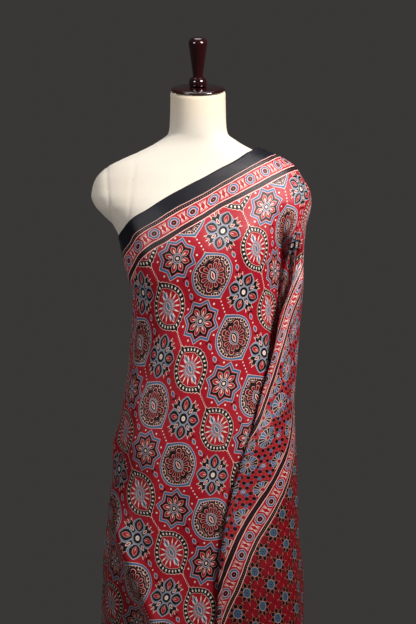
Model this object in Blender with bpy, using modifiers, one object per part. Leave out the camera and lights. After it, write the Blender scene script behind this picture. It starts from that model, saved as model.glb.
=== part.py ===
"""Ajrakh sari cloth draped over one shoulder of a dress form on a stand.

Metres, +Z up. The origin is the centre of the round base's underside. The front of the
form faces -Y and +X is the viewer's right. The cloth is one closed sheet: it starts
behind the right hip, goes round the back and the left side, crosses the front, folds
back on itself in one long Z pleat under the right shoulder, and ends as the outer layer
behind the right side. Angles round the form run 0 = left side, 90 = front, 180 = right
side, 270 = back.
"""

import math

import bmesh
import bpy
from mathutils import Vector

# ---------------------------------------------------------------- driving dimensions
CLOTH_THICKNESS = 0.002
HEM_HEIGHT = 0.040  # lowest edge of the cloth above the floor
ROUNDNESS = 2.15  # exponent of the oval sections
GAP = 0.0003

BASE_RADIUS = 0.150
BASE_THICKNESS = 0.018
POLE_RADIUS = 0.0125
FORM_BOTTOM = 0.740
FORM_SEGMENTS = 36

CAP_RADIUS = 0.0560
CAP_EDGE = 0.0075
CAP_CROWN = 0.0105
NECK_TILT = math.radians(14.5)
NECK_TOP = 1.5015
NECK_LEAN = -0.010  # how far the neck's top stands in front of the stand's axis

# ---------------------------------------------------------------- the dress form
FORM_COLUMNS = ("z", "half_width", "front", "back", "centre_y", "roundness")
FORM = [
    (0.740, 0.1400, 0.088, 0.104, 0.000, 2.15),
    (0.746, 0.1480, 0.096, 0.113, 0.000, 2.15),
    (0.760, 0.1520, 0.101, 0.119, 0.000, 2.15),
    (0.800, 0.1535, 0.104, 0.122, 0.000, 2.15),
    (0.8513, 0.1500, 0.104, 0.120, 0.000, 2.15),
    (0.8906, 0.1430, 0.102, 0.113, 0.000, 2.15),
    (0.9341, 0.1355, 0.099, 0.103, 0.000, 2.15),
    (0.9796, 0.1300, 0.096, 0.093, 0.000, 2.15),
    (1.0272, 0.1265, 0.096, 0.087, 0.000, 2.15),
    (1.0748, 0.1270, 0.103, 0.086, 0.000, 2.15),
    (1.1224, 0.1395, 0.117, 0.089, 0.000, 2.15),
    (1.1650, 0.1505, 0.127, 0.094, 0.000, 2.15),
    (1.1887, 0.1580, 0.126, 0.096, 0.000, 2.15),
    (1.2073, 0.1650, 0.120, 0.097, 0.000, 2.15),
    (1.2259, 0.1755, 0.112, 0.098, 0.000, 2.15),
    (1.2466, 0.1940, 0.103, 0.098, 0.000, 2.15),
    (1.2653, 0.2108, 0.095, 0.098, 0.000, 2.15),
    (1.2860, 0.2190, 0.086, 0.097, 0.000, 2.15),
    (1.3034, 0.2165, 0.079, 0.094, 0.000, 2.15),
    (1.3212, 0.2100, 0.073, 0.090, 0.000, 2.15),
    (1.3340, 0.2000, 0.069, 0.086, 0.000, 2.15),
    (1.3460, 0.1870, 0.065, 0.082, 0.000, 2.15),
    (1.3620, 0.1560, 0.061, 0.077, 0.000, 2.12),
    (1.3770, 0.1225, 0.058, 0.072, 0.000, 2.10),
    (1.3900, 0.0960, 0.056, 0.067, 0.000, 2.05),
    (1.4019, 0.0770, 0.055, 0.062, -0.001, 2.00),
    (1.4140, 0.0618, 0.055, 0.058, -0.003, 2.00),
    (1.4310, 0.0584, 0.055, 0.056, -0.005, 2.00),
    (1.4650, 0.0572, 0.055, 0.056, -0.008, 2.00),
    (1.5015, 0.0567, 0.055, 0.056, -0.010, 2.00),
]
TILT_FROM = 1.400  # the neck's sections lean forward from here up

# ---------------------------------------------------------------- the cloth's sections
# half sizes of the inner layer: left, right, front and back of the stand's axis
INNER = [
    # z, left, right, front, back
    (1.4000, 0.0850, 0.0900, 0.0640, 0.0760),
    (1.3874, 0.1080, 0.1242, 0.0660, 0.0800),
    (1.3729, 0.1380, 0.1584, 0.0690, 0.0850),
    (1.3481, 0.1900, 0.1987, 0.0760, 0.0930),
    (1.3212, 0.2170, 0.2174, 0.0850, 0.1010),
    (1.2963, 0.2240, 0.2310, 0.0940, 0.1070),
    (1.2756, 0.2220, 0.2339, 0.1020, 0.1090),
    (1.2508, 0.2030, 0.2298, 0.1130, 0.1090),
    (1.2280, 0.1830, 0.2230, 0.1220, 0.1080),
    (1.2050, 0.1710, 0.2120, 0.1300, 0.1070),
    (1.1887, 0.1625, 0.2020, 0.1350, 0.1060),
    (1.1650, 0.1585, 0.1900, 0.1380, 0.1040),
    (1.1224, 0.1476, 0.1790, 0.1340, 0.0990),
    (1.0748, 0.1346, 0.1700, 0.1250, 0.0960),
    (1.0272, 0.1340, 0.1650, 0.1190, 0.0980),
    (0.9796, 0.1385, 0.1640, 0.1170, 0.1060),
    (0.9341, 0.1430, 0.1650, 0.1175, 0.1160),
    (0.8906, 0.1510, 0.1670, 0.1190, 0.1260),
    (0.8513, 0.1590, 0.1690, 0.1215, 0.1330),
    (0.8140, 0.1655, 0.1710, 0.1240, 0.1360),
    (0.7685, 0.1760, 0.1730, 0.1270, 0.1380),
    (0.7209, 0.1765, 0.1750, 0.1300, 0.1400),
    (0.6256, 0.1860, 0.1800, 0.1380, 0.1450),
    (0.5263, 0.1946, 0.1850, 0.1460, 0.1520),
    (0.4021, 0.1990, 0.1910, 0.1540, 0.1600),
    (0.2000, 0.2060, 0.1990, 0.1640, 0.1700),
    (0.0400, 0.2110, 0.2060, 0.1720, 0.1780),
]
# the outer layer hangs free of the body from the shoulder
OUTER = [
    # z, right, how far it stands in front of the inner layer, back
    (1.4000, 0.0900, 0.000, 0.0760),
    (1.3874, 0.1242, 0.000, 0.0800),
    (1.3729, 0.1584, 0.000, 0.0850),
    (1.3481, 0.1987, 0.000, 0.0930),
    (1.3212, 0.2174, 0.000, 0.1010),
    (1.2963, 0.2310, 0.000, 0.1090),
    (1.2756, 0.2339, 0.000, 0.1130),
    (1.2508, 0.2310, 0.001, 0.1170),
    (1.2280, 0.2250, 0.003, 0.1190),
    (1.2050, 0.2225, 0.006, 0.1200),
    (1.1535, 0.2200, 0.011, 0.1200),
    (1.1100, 0.2186, 0.013, 0.1190),
    (1.0580, 0.2132, 0.014, 0.1200),
    (1.0127, 0.2091, 0.015, 0.1240),
    (0.9278, 0.2049, 0.015, 0.1380),
    (0.8500, 0.2000, 0.015, 0.1500),
    (0.8000, 0.2010, 0.015, 0.1550),
    (0.7064, 0.2053, 0.015, 0.1600),
    (0.6256, 0.2060, 0.015, 0.1640),
    (0.5739, 0.2089, 0.015, 0.1670),
    (0.5097, 0.2153, 0.015, 0.1700),
    (0.4021, 0.2200, 0.015, 0.1760),
    (0.2000, 0.2280, 0.015, 0.1850),
    (0.0400, 0.2340, 0.015, 0.1920),
]
# top selvedge of the cloth, by angle
TOP_EDGE = [
    # angle, z
    (-135, 0.770),
    (-110, 0.850),
    (-90, 0.920),
    (-60, 0.990),
    (-35, 1.050),
    (-15, 1.115),
    (0, 1.179),
    (21, 1.2040),
    (37, 1.2252),
    (50, 1.2414),
    (63, 1.2576),
    (81, 1.2946),
    (104, 1.3449),
    (130, 1.3745),
    (155, 1.3840),
    (180, 1.3874),
    (200, 1.3790),
    (220, 1.3480),
    (240, 1.2840),
    (256, 1.2150),
]
# the pleat: where its hidden fold and its visible fold edge lie
HIDDEN_FOLD = [
    # z, angle
    (0.040, 205),
    (0.600, 200),
    (0.850, 190),
    (0.950, 183),
    (1.030, 175),
    (1.100, 168),
    (1.200, 160),
]
FOLD_EDGE = [
    # z, x
    (0.0400, 0.0350),
    (0.4021, 0.0393),
    (0.5118, 0.0418),
    (0.5987, 0.0510),
    (0.6650, 0.0660),
    (0.7395, 0.0882),
    (0.8285, 0.1182),
    (0.9072, 0.1412),
    (0.9755, 0.1600),
    (1.0334, 0.1765),
    (1.1059, 0.1985),
    (1.1600, 0.2095),
    (1.2500, 0.2110),
]
PLEAT_OPENS, PLEAT_CLOSED_ABOVE = 1.150, 1.270
FLAT_FROM, FLAT_TO = 150.0, 164.0  # the pleat's angles where it isn't folded yet
START_ANGLE = -135.0
END_ANGLE = [(0.040, 240.0), (1.215, 256.0)]  # z, angle
TURN_IN, TURN_OUT = 3.5, 2.2  # degrees that the two fold turns take
EDGE_MIX = 0.75  # the fold edge lies between the middle and the outer layer

# lower edge by layer
INNER_HEM = [(-135, 0.040), (118, 0.040), (150, 0.100), (180, 0.165), (206, 0.217)]
OUTER_HEM = [(95, 0.217), (110, 0.190), (150, 0.125), (180, 0.078), (205, 0.040), (256, 0.040)]

# long soft folds of the inner layer: crest line, height and how far it reaches each way
DIAGONAL_RIDGE = [
    # z, x of the crest, height
    (0.7000, -0.1800, 0.000),
    (0.6525, -0.1700, 0.006),
    (0.5987, -0.1530, 0.010),
    (0.5325, -0.1325, 0.012),
    (0.4620, -0.1025, 0.012),
    (0.4100, -0.0787, 0.012),
    (0.3000, -0.0350, 0.010),
    (0.1500, 0.0100, 0.006),
    (0.0400, 0.0400, 0.003),
]
RIDGE_RIGHT, RIDGE_LEFT = 0.060, 0.020
HANGING_FOLDS = [
    # angle, half width in degrees, height at the hem, z where it begins
    (-118, 13, 0.016, 0.72),
    (-88, 11, 0.018, 0.84),
    (-58, 12, 0.016, 0.80),
    (-26, 10, 0.015, 0.90),
    (12, 6, -0.006, 0.86),
    (196, 9, 0.010, 0.95),
    (222, 8, 0.012, 1.10),
]
# the diagonal crease of the outer layer
OUTER_CREASE = [
    # z, x of the crest, height
    (0.7000, 0.0800, 0.000),
    (0.7602, 0.1130, 0.004),
    (0.8244, 0.1510, 0.006),
    (0.8595, 0.1670, 0.005),
    (0.9155, 0.1860, 0.001),
]

INNER_COLUMNS = 31
RETURN_COLUMNS = 3
OUTER_COLUMNS = 15
TURN_COLUMNS = 3
ROWS = 35


# ---------------------------------------------------------------- helpers
def curve(table, at, column=1):
    """A smooth curve without overshoot through a table's rows, read at one value."""
    rows = sorted(table)
    xs = [r[0] for r in rows]
    ys = [r[column] for r in rows]
    at = min(max(at, xs[0]), xs[-1])
    i = max(0, min(len(xs) - 2, sum(1 for v in xs[1:-1] if v <= at)))
    h = [b - a for a, b in zip(xs, xs[1:])]
    d = [(b - a) / s for a, b, s in zip(ys, ys[1:], h)]

    def slope(j):
        if j == 0:
            return d[0]
        if j == len(xs) - 1:
            return d[-1]
        if d[j - 1] * d[j] <= 0:
            return 0.0
        w1, w2 = 2 * h[j] + h[j - 1], h[j] + 2 * h[j - 1]
        return (w1 + w2) / (w1 / d[j - 1] + w2 / d[j])

    t = (at - xs[i]) / h[i]
    return (
        (2 * t**3 - 3 * t**2 + 1) * ys[i]
        + (t**3 - 2 * t**2 + t) * h[i] * slope(i)
        + (3 * t**2 - 2 * t**3) * ys[i + 1]
        + (t**3 - t**2) * h[i] * slope(i + 1)
    )


def ease(t):
    t = min(max(t, 0.0), 1.0)
    return t * t * (3 - 2 * t)


def blend(a, b, t):
    return a + (b - a) * t


def oval(angle, left, right, front, back, roundness=ROUNDNESS):
    """A point of an oval section with its own size on each of four sides."""
    c, s = math.cos(math.radians(angle)), math.sin(math.radians(angle))
    x = math.copysign(abs(c) ** (2 / roundness), c)
    y = math.copysign(abs(s) ** (2 / roundness), s)
    return (-left if x > 0 else -right) * x, (-front if y > 0 else -back) * y


def new_object(name, mesh, material, smooth=True):
    ob = bpy.data.objects.new(name, mesh)
    collection.objects.link(ob)
    mesh.materials.append(material)
    if smooth:
        mesh.shade_smooth()
        mesh.set_sharp_from_angle(angle=math.radians(40))
    return ob


def principled(name, colour, roughness, metallic=0.0):
    m = bpy.data.materials.new(name)
    m.use_nodes = True
    shader = m.node_tree.nodes["Principled BSDF"]
    shader.inputs["Base Color"].default_value = (*colour, 1.0)
    shader.inputs["Roughness"].default_value = roughness
    shader.inputs["Metallic"].default_value = metallic
    m.diffuse_color = (*colour, 1.0)
    return m


def turned(name, profile, material, steps, centre=(0, 0, 0)):
    """A solid of revolution: the profile runs down its outer side, top to bottom."""
    mesh = bpy.data.meshes.new(name)
    bm = bmesh.new()
    points = [bm.verts.new((r, 0, z)) for r, z in profile]
    for a, b in zip(points, points[1:]):
        bm.edges.new((a, b))
    bm.to_mesh(mesh)
    bm.free()
    ob = new_object(name, mesh, material, smooth=False)
    ob.location = centre
    screw = ob.modifiers.new("turn", "SCREW")
    screw.axis = "Z"
    screw.steps = screw.render_steps = steps
    screw.use_merge_vertices = True
    screw.merge_threshold = 0.00005
    screw.use_smooth_shade = True
    return ob


# ---------------------------------------------------------------- cloth surface
def layer_point(mix, angle, z):
    """A point of the drape between the inner layer (mix 0) and the outer layer (mix 1)."""
    left, right, front, back = (curve(INNER, z, k) for k in (1, 2, 3, 4))
    o_right, proud, o_back = (curve(OUTER, z, k) for k in (1, 2, 3))
    return oval(
        angle,
        left,
        blend(right, o_right, mix),
        front + proud * mix,
        blend(back, o_back, mix),
    )


def fold_angle(z):
    """The angle at which the turn between the layers has the fold edge's x."""
    right = blend(curve(INNER, z, 2), curve(OUTER, z, 1), EDGE_MIX)
    share = min(0.985, curve(FOLD_EDGE, z) / right)
    return 180 - math.degrees(math.acos(share ** (ROUNDNESS / 2)))


def pleat_open(z):
    return ease((PLEAT_CLOSED_ABOVE - z) / (PLEAT_CLOSED_ABOVE - PLEAT_OPENS))


def column_list():
    """Each column of the sheet as (group, share along its group)."""
    columns = [("inner", k / (INNER_COLUMNS - 1)) for k in range(INNER_COLUMNS)]
    columns += [("turn_in", (k + 1) / (TURN_COLUMNS + 1)) for k in range(TURN_COLUMNS)]
    columns += [("return", k / (RETURN_COLUMNS - 1)) for k in range(RETURN_COLUMNS)]
    columns += [("turn_out", (k + 1) / (TURN_COLUMNS + 1)) for k in range(TURN_COLUMNS)]
    columns += [("outer", k / (OUTER_COLUMNS - 1)) for k in range(OUTER_COLUMNS)]
    return columns


def place(group, share, order, z):
    """Angle and layer mix of one column at height z. order runs 0 to 1 over the pleat."""
    m = pleat_open(z)
    hidden, edge = curve(HIDDEN_FOLD, z), fold_angle(z)
    flat = blend(FLAT_FROM, FLAT_TO, order)
    if group == "inner":
        return START_ANGLE + (blend(FLAT_FROM, hidden, m) - START_ANGLE) * share, 0.0
    if group == "outer":
        first = blend(FLAT_TO, edge + TURN_OUT, m)
        return blend(first, curve(END_ANGLE, z), share), 1.0
    if group == "turn_in":
        angle = hidden + TURN_IN * math.sin(math.pi * share)
        mix = 0.25 * (1 - math.cos(math.pi * share))
    elif group == "return":
        angle, mix = blend(hidden, edge + TURN_OUT, share), 0.5
    else:
        angle = edge + TURN_OUT - TURN_OUT * math.sin(math.pi * share)
        mix = 0.5 + 0.25 * (1 - math.cos(math.pi * share))
    return blend(flat, angle, m), blend(order, mix, m)


def fold_height(group, angle, x, z):
    """How far the folds lift the cloth off its plain section."""
    lift = 0.0
    for centre, width, height, begins in HANGING_FOLDS:
        if (centre > 150) == (group == "outer") and group in ("inner", "outer"):
            grow = ease((begins - z) / (begins - HEM_HEIGHT))
            lift += height * grow * math.exp(-(((angle - centre) / width) ** 2))
    if group == "inner" and 0 < angle < 130 and z < 0.70:
        d = x - curve(DIAGONAL_RIDGE, z)
        height = curve(DIAGONAL_RIDGE, z, 2)
        reach = RIDGE_RIGHT if d > 0 else RIDGE_LEFT
        lift += height * (math.exp(-((d / reach) ** 2)) - 0.45 * math.exp(-(((d + 0.045) / 0.025) ** 2)))
    if group == "outer" and angle < 178 and z > 0.70:
        d = x - curve(OUTER_CREASE, z)
        lift += curve(OUTER_CREASE, z, 2) * math.exp(-((d / 0.014) ** 2))
    return lift


def cloth_point(group, share, order, z):
    angle, mix = place(group, share, order, z)
    x, y = layer_point(mix, angle, z)
    lift = fold_height(group, angle, x, z)
    if lift:
        ahead, behind = layer_point(mix, angle + 1, z), layer_point(mix, angle - 1, z)
        out = Vector((-(ahead[1] - behind[1]), ahead[0] - behind[0])).normalized()
        if out.dot(Vector((x, y))) < 0:
            out = -out
        x, y = x + lift * out.x, y + lift * out.y
    return Vector((x, y, z))


def top_of(group, share, order):
    """Height at which a column meets the top selvedge."""
    low, high = 0.5, 1.3990
    for _ in range(40):
        mid = (low + high) / 2
        if mid < curve(TOP_EDGE, place(group, share, order, mid)[0]):
            low = mid
        else:
            high = mid
    return low


def hem_of(group, share, order):
    angle = place(group, share, order, 0.2)[0]
    if group == "inner":
        return curve(INNER_HEM, angle)
    if group == "outer":
        return curve(OUTER_HEM, angle)
    return blend(curve(INNER_HEM, 206), curve(OUTER_HEM, 95), order)


def build_cloth(material):
    columns = column_list()
    first = INNER_COLUMNS - 1
    last = len(columns) - OUTER_COLUMNS
    mesh = bpy.data.meshes.new("sari_cloth")
    bm = bmesh.new()
    grid = []
    for i, (group, share) in enumerate(columns):
        order = min(max((i - first) / (last - first), 0.0), 1.0)
        top, hem = top_of(group, share, order), hem_of(group, share, order)
        line = []
        for k in range(ROWS):
            t = k / (ROWS - 1)
            z = top + (hem - top) * (0.55 * t + 0.45 * t * t)
            line.append(bm.verts.new(cloth_point(group, share, order, z)))
        grid.append(line)
    for left, right in zip(grid, grid[1:]):
        for k in range(ROWS - 1):
            bm.faces.new((left[k], left[k + 1], right[k + 1], right[k]))
    bm.normal_update()
    bm.to_mesh(mesh)
    bm.free()
    ob = new_object("sari_cloth", mesh, material)
    solid = ob.modifiers.new("thickness", "SOLIDIFY")
    solid.thickness = CLOTH_THICKNESS
    solid.offset = 0.0
    solid.use_even_offset = True
    return ob


# ---------------------------------------------------------------- dress form
def build_form(material):
    mesh = bpy.data.meshes.new("form_body")
    bm = bmesh.new()
    rings = []
    for z, half, front, back, centre, roundness in FORM:
        tilt = NECK_TILT * ease((z - TILT_FROM) / (NECK_TOP - TILT_FROM))
        ring = []
        for k in range(FORM_SEGMENTS):
            x, y = oval(360 * k / FORM_SEGMENTS, half, half, front, back, roundness)
            ring.append(bm.verts.new((x, y + centre, z + y * math.tan(tilt))))
        rings.append(ring)
    for low, high in zip(rings, rings[1:]):
        for k in range(FORM_SEGMENTS):
            j = (k + 1) % FORM_SEGMENTS
            bm.faces.new((low[k], low[j], high[j], high[k]))
    bm.faces.new(rings[0][::-1])
    bm.faces.new(rings[-1])
    bmesh.ops.recalc_face_normals(bm, faces=bm.faces)
    bm.to_mesh(mesh)
    bm.free()
    return new_object("form_body", mesh, material)


# ---------------------------------------------------------------- build
for ob in list(bpy.data.objects):
    bpy.data.objects.remove(ob, do_unlink=True)

collection = bpy.data.collections.new("ajrakh_sari_on_dress_form")
bpy.context.scene.collection.children.link(collection)

cloth_red = principled("ajrakh_cloth", (0.34, 0.030, 0.042), 0.55)
linen = principled("form_linen", (0.78, 0.70, 0.58), 0.80)
dark_wood = principled("dark_wood", (0.030, 0.008, 0.008), 0.22)
steel = principled("stand_steel", (0.045, 0.045, 0.050), 0.35, 0.8)

build_cloth(cloth_red)
build_form(linen)

neck = bpy.data.objects.new("neck_axis", None)
collection.objects.link(neck)
neck.location = (0, NECK_LEAN, NECK_TOP)
neck.rotation_euler = (NECK_TILT, 0, 0)

cap = turned(
    "neck_cap",
    [
        (0.0, CAP_CROWN),
        (0.025, CAP_CROWN - 0.0004),
        (0.043, CAP_CROWN - 0.0016),
        (CAP_RADIUS - 0.003, CAP_EDGE - 0.0008),
        (CAP_RADIUS, CAP_EDGE - 0.0035),
        (CAP_RADIUS - 0.0008, 0.0018),
        (CAP_RADIUS - 0.003, GAP),
        (0.0, GAP),
    ],
    dark_wood,
    40,
)
cap.parent = neck

# the turned handle on the cap: radius and height above the cap's crown
FINIAL = [
    (0.0, 0.1025),
    (0.0080, 0.1022),
    (0.0130, 0.1008),
    (0.0182, 0.0958),
    (0.0199, 0.0915),
    (0.0196, 0.0880),
    (0.0150, 0.0550),
    (0.0102, 0.0210),
    (0.0110, 0.0200),
    (0.0155, 0.0172),
    (0.0183, 0.0130),
    (0.0189, 0.0085),
    (0.0189, 0.0035),
    (0.0165, GAP),
    (0.0, GAP),
]
finial = turned("finial", FINIAL, dark_wood, 28, (0, 0, CAP_CROWN))
finial.parent = neck

turned(
    "stand_base",
    [
        (0.0, BASE_THICKNESS + 0.006),
        (0.030, BASE_THICKNESS + 0.005),
        (0.080, BASE_THICKNESS + 0.002),
        (BASE_RADIUS - 0.012, BASE_THICKNESS - 0.001),
        (BASE_RADIUS - 0.003, BASE_THICKNESS - 0.004),
        (BASE_RADIUS, BASE_THICKNESS - 0.009),
        (BASE_RADIUS, 0.002),
        (BASE_RADIUS - 0.002, 0.0),
        (0.0, 0.0),
    ],
    steel,
    48,
)

POLE_LOW, POLE_HIGH = BASE_THICKNESS + 0.006 + GAP, FORM_BOTTOM - GAP
bpy.ops.mesh.primitive_cylinder_add(
    vertices=24,
    radius=POLE_RADIUS,
    depth=POLE_HIGH - POLE_LOW,
    location=(0, 0, (POLE_LOW + POLE_HIGH) / 2),
)
pole = bpy.context.object
pole.name = pole.data.name = "stand_pole"
for other in list(pole.users_collection):
    other.objects.unlink(pole)
collection.objects.link(pole)
pole.data.materials.append(steel)
pole.data.shade_smooth()
pole.data.set_sharp_from_angle(angle=math.radians(40))
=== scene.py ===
"""Looks of the ajrakh sari cloth on its dress form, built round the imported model.

Metres, +Z up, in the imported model's frame. Angles round the form run 0 = viewer's left
side, 90 = front, 180 = viewer's right side, 270 = back. The cloth is one continuous grid:
the inner layer, a turn, the hidden return of the pleat, a turn, and the outer layer.
"""
import math

import bmesh
import bpy
import numpy as np
from mathutils import Matrix, Vector


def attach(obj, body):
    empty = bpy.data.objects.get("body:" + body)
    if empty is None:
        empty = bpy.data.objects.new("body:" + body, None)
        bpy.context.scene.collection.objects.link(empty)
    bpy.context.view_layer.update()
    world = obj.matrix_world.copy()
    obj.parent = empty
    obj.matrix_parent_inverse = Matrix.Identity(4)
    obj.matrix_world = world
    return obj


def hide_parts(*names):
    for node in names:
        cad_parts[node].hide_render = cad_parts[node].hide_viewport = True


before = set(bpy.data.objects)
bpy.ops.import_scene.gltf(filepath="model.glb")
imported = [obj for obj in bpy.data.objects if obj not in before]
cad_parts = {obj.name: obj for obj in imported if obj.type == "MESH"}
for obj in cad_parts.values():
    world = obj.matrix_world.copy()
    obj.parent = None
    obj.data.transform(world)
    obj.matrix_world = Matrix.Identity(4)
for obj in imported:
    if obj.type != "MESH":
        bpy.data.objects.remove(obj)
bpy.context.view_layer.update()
scene = bpy.context.scene

# ==================================================================== sizes and tables
CLOTH_THICKNESS = 0.002
HEM_HEIGHT = 0.040  # lowest edge of the cloth above the floor
ROUNDNESS = 2.15  # exponent of the oval sections
GAP = 0.0003

BASE_RADIUS = 0.150
BASE_THICKNESS = 0.018
POLE_RADIUS = 0.0125
FORM_BOTTOM = 0.740
FORM_SEGMENTS = 36

CAP_RADIUS = 0.0560
CAP_EDGE = 0.0075
CAP_CROWN = 0.0105
NECK_TILT = math.radians(14.5)
NECK_TOP = 1.5015
NECK_LEAN = -0.010  # how far the neck's top stands in front of the stand's axis

# ---------------------------------------------------------------- the dress form
FORM_COLUMNS = ("z", "half_width", "front", "back", "centre_y", "roundness")
FORM = [
    (0.740, 0.1400, 0.088, 0.104, 0.000, 2.15),
    (0.746, 0.1480, 0.096, 0.113, 0.000, 2.15),
    (0.760, 0.1520, 0.101, 0.119, 0.000, 2.15),
    (0.800, 0.1535, 0.104, 0.122, 0.000, 2.15),
    (0.8513, 0.1500, 0.104, 0.120, 0.000, 2.15),
    (0.8906, 0.1430, 0.102, 0.113, 0.000, 2.15),
    (0.9341, 0.1355, 0.099, 0.103, 0.000, 2.15),
    (0.9796, 0.1300, 0.096, 0.093, 0.000, 2.15),
    (1.0272, 0.1265, 0.096, 0.087, 0.000, 2.15),
    (1.0748, 0.1270, 0.103, 0.086, 0.000, 2.15),
    (1.1224, 0.1395, 0.117, 0.089, 0.000, 2.15),
    (1.1650, 0.1505, 0.127, 0.094, 0.000, 2.15),
    (1.1887, 0.1580, 0.126, 0.096, 0.000, 2.15),
    (1.2073, 0.1650, 0.120, 0.097, 0.000, 2.15),
    (1.2259, 0.1755, 0.112, 0.098, 0.000, 2.15),
    (1.2466, 0.1940, 0.103, 0.098, 0.000, 2.15),
    (1.2653, 0.2108, 0.095, 0.098, 0.000, 2.15),
    (1.2860, 0.2190, 0.086, 0.097, 0.000, 2.15),
    (1.3034, 0.2165, 0.079, 0.094, 0.000, 2.15),
    (1.3212, 0.2100, 0.073, 0.090, 0.000, 2.15),
    (1.3340, 0.2000, 0.069, 0.086, 0.000, 2.15),
    (1.3460, 0.1870, 0.065, 0.082, 0.000, 2.15),
    (1.3620, 0.1560, 0.061, 0.077, 0.000, 2.12),
    (1.3770, 0.1225, 0.058, 0.072, 0.000, 2.10),
    (1.3900, 0.0960, 0.056, 0.067, 0.000, 2.05),
    (1.4019, 0.0770, 0.055, 0.062, -0.001, 2.00),
    (1.4140, 0.0618, 0.055, 0.058, -0.003, 2.00),
    (1.4310, 0.0584, 0.055, 0.056, -0.005, 2.00),
    (1.4650, 0.0572, 0.055, 0.056, -0.008, 2.00),
    (1.5015, 0.0567, 0.055, 0.056, -0.010, 2.00),
]
TILT_FROM = 1.400  # the neck's sections lean forward from here up

# ---------------------------------------------------------------- the cloth's sections
# half sizes of the inner layer: left, right, front and back of the stand's axis
INNER = [
    # z, left, right, front, back
    (1.4000, 0.0850, 0.0900, 0.0640, 0.0760),
    (1.3874, 0.1080, 0.1242, 0.0660, 0.0800),
    (1.3729, 0.1380, 0.1584, 0.0690, 0.0850),
    (1.3481, 0.1900, 0.1987, 0.0760, 0.0930),
    (1.3212, 0.2170, 0.2174, 0.0850, 0.1010),
    (1.2963, 0.2240, 0.2310, 0.0940, 0.1070),
    (1.2756, 0.2220, 0.2339, 0.1020, 0.1090),
    (1.2508, 0.2030, 0.2298, 0.1130, 0.1090),
    (1.2280, 0.1830, 0.2230, 0.1220, 0.1080),
    (1.2050, 0.1710, 0.2120, 0.1300, 0.1070),
    (1.1887, 0.1625, 0.2020, 0.1350, 0.1060),
    (1.1650, 0.1585, 0.1900, 0.1380, 0.1040),
    (1.1224, 0.1476, 0.1790, 0.1340, 0.0990),
    (1.0748, 0.1346, 0.1700, 0.1250, 0.0960),
    (1.0272, 0.1340, 0.1650, 0.1190, 0.0980),
    (0.9796, 0.1385, 0.1640, 0.1170, 0.1060),
    (0.9341, 0.1430, 0.1650, 0.1175, 0.1160),
    (0.8906, 0.1510, 0.1670, 0.1190, 0.1260),
    (0.8513, 0.1590, 0.1690, 0.1215, 0.1330),
    (0.8140, 0.1655, 0.1710, 0.1240, 0.1360),
    (0.7685, 0.1760, 0.1730, 0.1270, 0.1380),
    (0.7209, 0.1765, 0.1750, 0.1300, 0.1400),
    (0.6256, 0.1860, 0.1800, 0.1380, 0.1450),
    (0.5263, 0.1946, 0.1850, 0.1460, 0.1520),
    (0.4021, 0.1990, 0.1910, 0.1540, 0.1600),
    (0.2000, 0.2060, 0.1990, 0.1640, 0.1700),
    (0.0400, 0.2110, 0.2060, 0.1720, 0.1780),
]
# the outer layer hangs free of the body from the shoulder
OUTER = [
    # z, right, how far it stands in front of the inner layer, back
    (1.4000, 0.0900, 0.000, 0.0760),
    (1.3874, 0.1242, 0.000, 0.0800),
    (1.3729, 0.1584, 0.000, 0.0850),
    (1.3481, 0.1987, 0.000, 0.0930),
    (1.3212, 0.2174, 0.000, 0.1010),
    (1.2963, 0.2310, 0.000, 0.1090),
    (1.2756, 0.2339, 0.000, 0.1130),
    (1.2508, 0.2310, 0.001, 0.1170),
    (1.2280, 0.2250, 0.003, 0.1190),
    (1.2050, 0.2225, 0.006, 0.1200),
    (1.1535, 0.2200, 0.011, 0.1200),
    (1.1100, 0.2186, 0.013, 0.1190),
    (1.0580, 0.2132, 0.014, 0.1200),
    (1.0127, 0.2091, 0.015, 0.1240),
    (0.9278, 0.2049, 0.015, 0.1380),
    (0.8500, 0.2000, 0.015, 0.1500),
    (0.8000, 0.2010, 0.015, 0.1550),
    (0.7064, 0.2053, 0.015, 0.1600),
    (0.6256, 0.2060, 0.015, 0.1640),
    (0.5739, 0.2089, 0.015, 0.1670),
    (0.5097, 0.2153, 0.015, 0.1700),
    (0.4021, 0.2200, 0.015, 0.1760),
    (0.2000, 0.2280, 0.015, 0.1850),
    (0.0400, 0.2340, 0.015, 0.1920),
]
# top selvedge of the cloth, by angle
TOP_EDGE = [
    # angle, z
    (-135, 0.770),
    (-110, 0.850),
    (-90, 0.920),
    (-60, 0.990),
    (-35, 1.050),
    (-15, 1.115),
    (0, 1.179),
    (21, 1.2040),
    (37, 1.2252),
    (50, 1.2414),
    (63, 1.2576),
    (81, 1.2946),
    (104, 1.3449),
    (130, 1.3745),
    (155, 1.3840),
    (180, 1.3874),
    (200, 1.3790),
    (220, 1.3480),
    (240, 1.2840),
    (256, 1.2150),
]
# the pleat: where its hidden fold and its visible fold edge lie
HIDDEN_FOLD = [
    # z, angle
    (0.040, 205),
    (0.600, 200),
    (0.850, 190),
    (0.950, 183),
    (1.030, 175),
    (1.100, 168),
    (1.200, 160),
]
FOLD_EDGE = [
    # z, x
    (0.0400, 0.0350),
    (0.4021, 0.0393),
    (0.5118, 0.0418),
    (0.5987, 0.0510),
    (0.6650, 0.0660),
    (0.7395, 0.0882),
    (0.8285, 0.1182),
    (0.9072, 0.1412),
    (0.9755, 0.1600),
    (1.0334, 0.1765),
    (1.1059, 0.1985),
    (1.1600, 0.2095),
    (1.2500, 0.2110),
]
PLEAT_OPENS, PLEAT_CLOSED_ABOVE = 1.150, 1.270
FLAT_FROM, FLAT_TO = 150.0, 164.0  # the pleat's angles where it isn't folded yet
START_ANGLE = -135.0
END_ANGLE = [(0.040, 240.0), (1.215, 256.0)]  # z, angle
TURN_IN, TURN_OUT = 3.5, 2.2  # degrees that the two fold turns take
EDGE_MIX = 0.75  # the fold edge lies between the middle and the outer layer

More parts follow.
